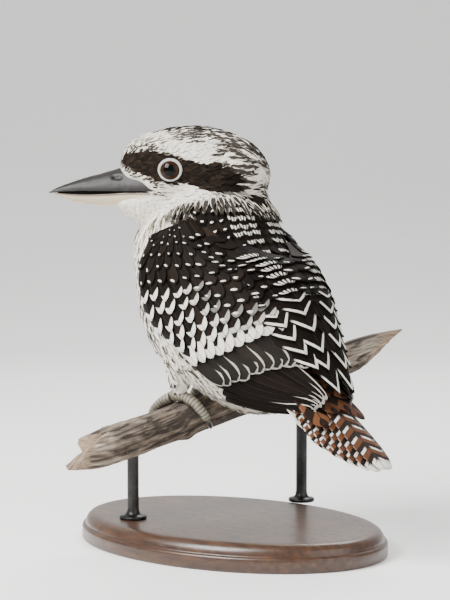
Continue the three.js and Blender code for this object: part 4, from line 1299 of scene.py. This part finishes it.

# Bill: a deep, heavy wedge of horn, blackish above and bone-coloured below, with a slit nostril on
# each side. Painted shade darkens the nostrils and the edges where the halves meet, and a near-black
# sheet of painted shade between them shows as a dark line where they part.
bill_horn = Finish("bill_horn", Roughness=0.4, Specular_IOR_Level=0.25)
bill_along, bill_up, nostril_shade = (bill_horn.field(name) for name in ("along", "height", "pit"))
layers = bill_horn.noise(bill_horn.place(bill_along * 3, bill_up * 22), 1.8, 6.0, 0.65)
scuffs = bill_horn.noise(bill_horn.place(bill_along * 2.0, bill_up * 90), 2.4, 4.0, 0.7)
# Painted shade: the nostril pits and the underside of the upper half are near-black.
bill_horn.set(
    Base_Color=bill_horn.blend(
        nostril_shade.most(bill_up.step(0.34, 0.2)),
        bill_horn.colours(
            layers * 0.6 + bill_up * 0.25,
            (0.2, (0.045, 0.035, 0.028)), (0.45, (0.016, 0.014, 0.013)), (0.8, (0.032, 0.029, 0.027)),
        ),
        (0.008, 0.007, 0.006),
    ),
    Roughness=scuffs * 0.3 + 0.27,
)
bill_horn.bump(layers * 0.6 + scuffs * 0.4, 0.25, 0.0003)
pale_horn = Finish("pale_horn", Roughness=0.35, Coat_Weight=0.2, Coat_Roughness=0.25)
low_along, low_up, low_pit = (pale_horn.field(name) for name in ("along", "height", "pit"))
grain = pale_horn.noise(pale_horn.place(low_along * 3, low_up * 20), 1.8, 6.0, 0.65)
pale_colour = pale_horn.colours(
    grain * 0.5 + low_along * 0.35 + 0.05,
    (0.15, (0.33, 0.25, 0.16)), (0.5, (0.56, 0.45, 0.31)), (0.9, (0.66, 0.56, 0.42)),
)
# Painted shade darkens the top of the lower half, under the upper one; the lower half is also darker towards
# its base.
gape_shade_and_dark_base = low_up.step(0.38, 0.46).most(low_along.step(0.14, 0.0) * 0.6)
pale_horn.set(
    Base_Color=pale_horn.blend(gape_shade_and_dark_base.most(low_pit) * 0.85, pale_colour, (0.07, 0.05, 0.038)),
    Roughness=grain * 0.25 + 0.25,
)
pale_horn.bump(grain, 0.2, 0.0003)

NOSTRIL_X, NOSTRIL_Z = -53.5, -4.2
for name, stations, power, finish, slot in (
    ("upper", UPPER_BILL_STATIONS, 1.75, bill_horn, "dark_horn"),
    ("lower", LOWER_BILL_STATIONS, 1.9, pale_horn, "pale_horn"),
):
    surface = barrel(stations, power)
    t, a = grid(np.linspace(0, 1, 130), around(72, 360))
    local = surface(t, a)
    high = local[..., 2] - NOSTRIL_Z
    pit = np.exp(-(((local[..., 0] - NOSTRIL_X + 0.3 * high) / 3.4) ** 4 + (high / 1.1) ** 4))
    pit *= (np.abs(local[..., 1]) > 5) * (name == "upper")
    wear = 0.12 * relief(t, a / 360, 30, 14, 81) + 0.1 * relief(t, a / 360, 9, 40, 82)
    local = surface(t, a, -1.6 * pit + wear * np.clip(t * 6, 0, 1))
    height = (1 + np.cos(np.radians(a))) / 2
    points, faces = capped(on_head(local))
    piece(f"bill_{name}_horn", points, faces, finish, slot, [f"bill_{name}"],
          {"along": with_ends(t), "height": with_ends(height), "pit": with_ends(smooth(pit, 0.2, 0.7))})

# A near-black sheet between the halves of the bill: painted shade in the gape.
gape_finish = Finish("gape_shade", Roughness=0.8, Specular_IOR_Level=0.1)
gape_finish.set(Base_Color=(0.006, 0.005, 0.004))
gape_form = barrel([
    [-95, -14.7, 0.6, 0.6, 1.2], [-87, -14.9, 0.9, 1.0, 3.2], [-75, -14.9, 1.1, 1.2, 5.8],
    [-62, -14.8, 1.1, 1.0, 8.4], [-50, -14.5, 0.7, 0.7, 11.0], [-38, -14.3, 0.5, 0.5, 13.5],
], 2)
points, faces = capped(on_head(rings_of(gape_form, 0, 1, 50, 48, 0)))
piece("bill_gape_shade", points, faces, gape_finish, "dark_horn")

# Eyes: glass eyes with a dark brown iris under a clear dome, each in a rim of bare grey lid.
EYE_RADIUS, LID_TURN = 9.0, np.radians(-7.0)
eye_glass = Finish("eye_glass", Roughness=0.05, Specular_IOR_Level=0.13)
off_axis, spoke = eye_glass.field("polar"), eye_glass.field("round")
fibres = eye_glass.noise(
    eye_glass.place(spoke.sine() * 3, (spoke + QUARTER_TURN).sine() * 3, off_axis * 1.2), 6.0, 4.0, 0.7
)
iris = eye_glass.colours(
    fibres * 0.8 + off_axis * 0.25,
    (0.3, (0.01, 0.0045, 0.003)), (0.6, (0.026, 0.011, 0.005)), (0.9, (0.05, 0.022, 0.01)),
)
iris = eye_glass.blend(off_axis.step(0.72, 0.84), iris, (0.008, 0.006, 0.005))
eye_glass.set(Base_Color=eye_glass.blend(off_axis.step(0.48, 0.44), iris, (0.002, 0.002, 0.002)))
lid_skin = Finish("lid_skin", Roughness=0.5)
lid_noise = lid_skin.noise(lid_skin.object_place(), 700.0, 4.0)
lid_skin.set(Base_Color=lid_skin.colours(lid_noise, (0.3, (0.3, 0.3, 0.29)), (0.7, (0.55, 0.54, 0.5))))
lid_skin.bump(lid_noise, 0.4, 0.0002)


def outward(turn, ahead):
    """Away from the eye's axis, by the angle round it from ahead."""
    return np.cos(turn)[..., None] * ahead + np.sin(turn)[..., None] * np.array([0.0, 0.0, 1.0])


for side, hand in ((-1, "left"), (1, "right")):
    centre = EYE * [1, side, 1]
    axis = np.array([np.sin(LID_TURN), side * np.cos(LID_TURN), 0.0])
    ahead = np.array([-np.cos(LID_TURN), side * np.sin(LID_TURN), 0.0])
    polar, round_ = grid(np.linspace(0.02, np.pi - 0.02, 60), around(72))
    bulge = EYE_RADIUS + 0.35 * np.exp(-((polar / 0.45) ** 2))
    away = outward(round_ * side, ahead)
    local = centre + bulge[..., None] * (np.cos(polar)[..., None] * axis + np.sin(polar)[..., None] * away)
    piece(f"eye_{hand}_glass", *capped(on_head(local)), eye_glass, "eye", [f"eye_{hand}"],
          {"polar": with_ends(polar), "round": with_ends(round_)})

    ring, tube = grid(around(96), around(20))
    slope = 7.15 + 0.25 * np.cos(2 * ring)
    radius = (1 + 0.07 * np.sin(ring * 34)) * (1 + 0.25 * np.sin(ring))
    over, beside = (5.5 + radius * np.sin(tube))[..., None], (slope + radius * np.cos(tube))[..., None]
    local = centre + beside * outward(ring, ahead) + over * axis
    piece(f"lid_{hand}", on_head(local), lattice(97, 20, closed=True) % (96 * 20), lid_skin, "scaled_skin")

# Setting: one sheet of pale paper that runs back under the board and curves up behind it and glows
# faintly with painted light of its own, with soft light from one large lamp on the left, a fill, a
# lamp behind and the room.
curve = ((1.2 + 1.6 * np.sin(a), 1.6 - 1.6 * np.cos(a)) for a in np.linspace(0.05, np.pi / 2, 30))
sheet_line = [(-3.0, 0.0), (1.2, 0.0), *curve, (2.8, 5.0)]
view_away = -toward(VIEW_TURN, 0.0)
sheet_points = [
    far * view_away + side * view_right + [0.0, 0.0, height]
    for far, height in sheet_line for side in (-4.0, 4.0)
]
sheet_mesh = bpy.data.meshes.new("sheet")
sheet_mesh.from_pydata(np.array(sheet_points), [], lattice(len(sheet_line), 2).tolist())
sheet_mesh.polygons.foreach_set("use_smooth", np.ones(len(sheet_mesh.polygons), bool))
sheet = placed("sheet", sheet_mesh)
# The paper's emission is painted light: the sheet glows though it is no lamp.
glowing_paper = Finish("glowing_paper", Roughness=0.95, Emission_Color=(0.9, 0.9, 0.88), Emission_Strength=0.3)
mottled = glowing_paper.noise(glowing_paper.object_place(), 3.0) * 0.2
glowing_paper.set(Base_Color=glowing_paper.blend(mottled, (0.88, 0.875, 0.86), (0.86, 0.855, 0.84)))
sheet_mesh.materials.append(glowing_paper.material)
sheet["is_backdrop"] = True
for name, turn_from_view, rise, far, size, watts in (
    ("key", -52, 42, 1.3, 0.7, 44.0), ("fill", 48, 20, 1.5, 1.2, 9.0), ("rim", 165, 50, 1.3, 0.7, 16.0)
):
    lamp = bpy.data.lights.new(name, "AREA")
    lamp.energy, lamp.size = watts, size
    direction = toward(VIEW_TURN + np.radians(turn_from_view), np.radians(rise))
    shown = placed(name, lamp)
    shown.location = aim * MM + far * direction
    shown.rotation_euler = Vector(direction).to_track_quat("Z", "Y").to_euler()
world = bpy.data.worlds.new("room")
world.use_nodes = True
background = world.node_tree.nodes["Background"].inputs
background["Color"].default_value, background["Strength"].default_value = (0.95, 0.97, 1.0, 1.0), 0.42
bpy.context.scene.world = world

low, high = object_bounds()
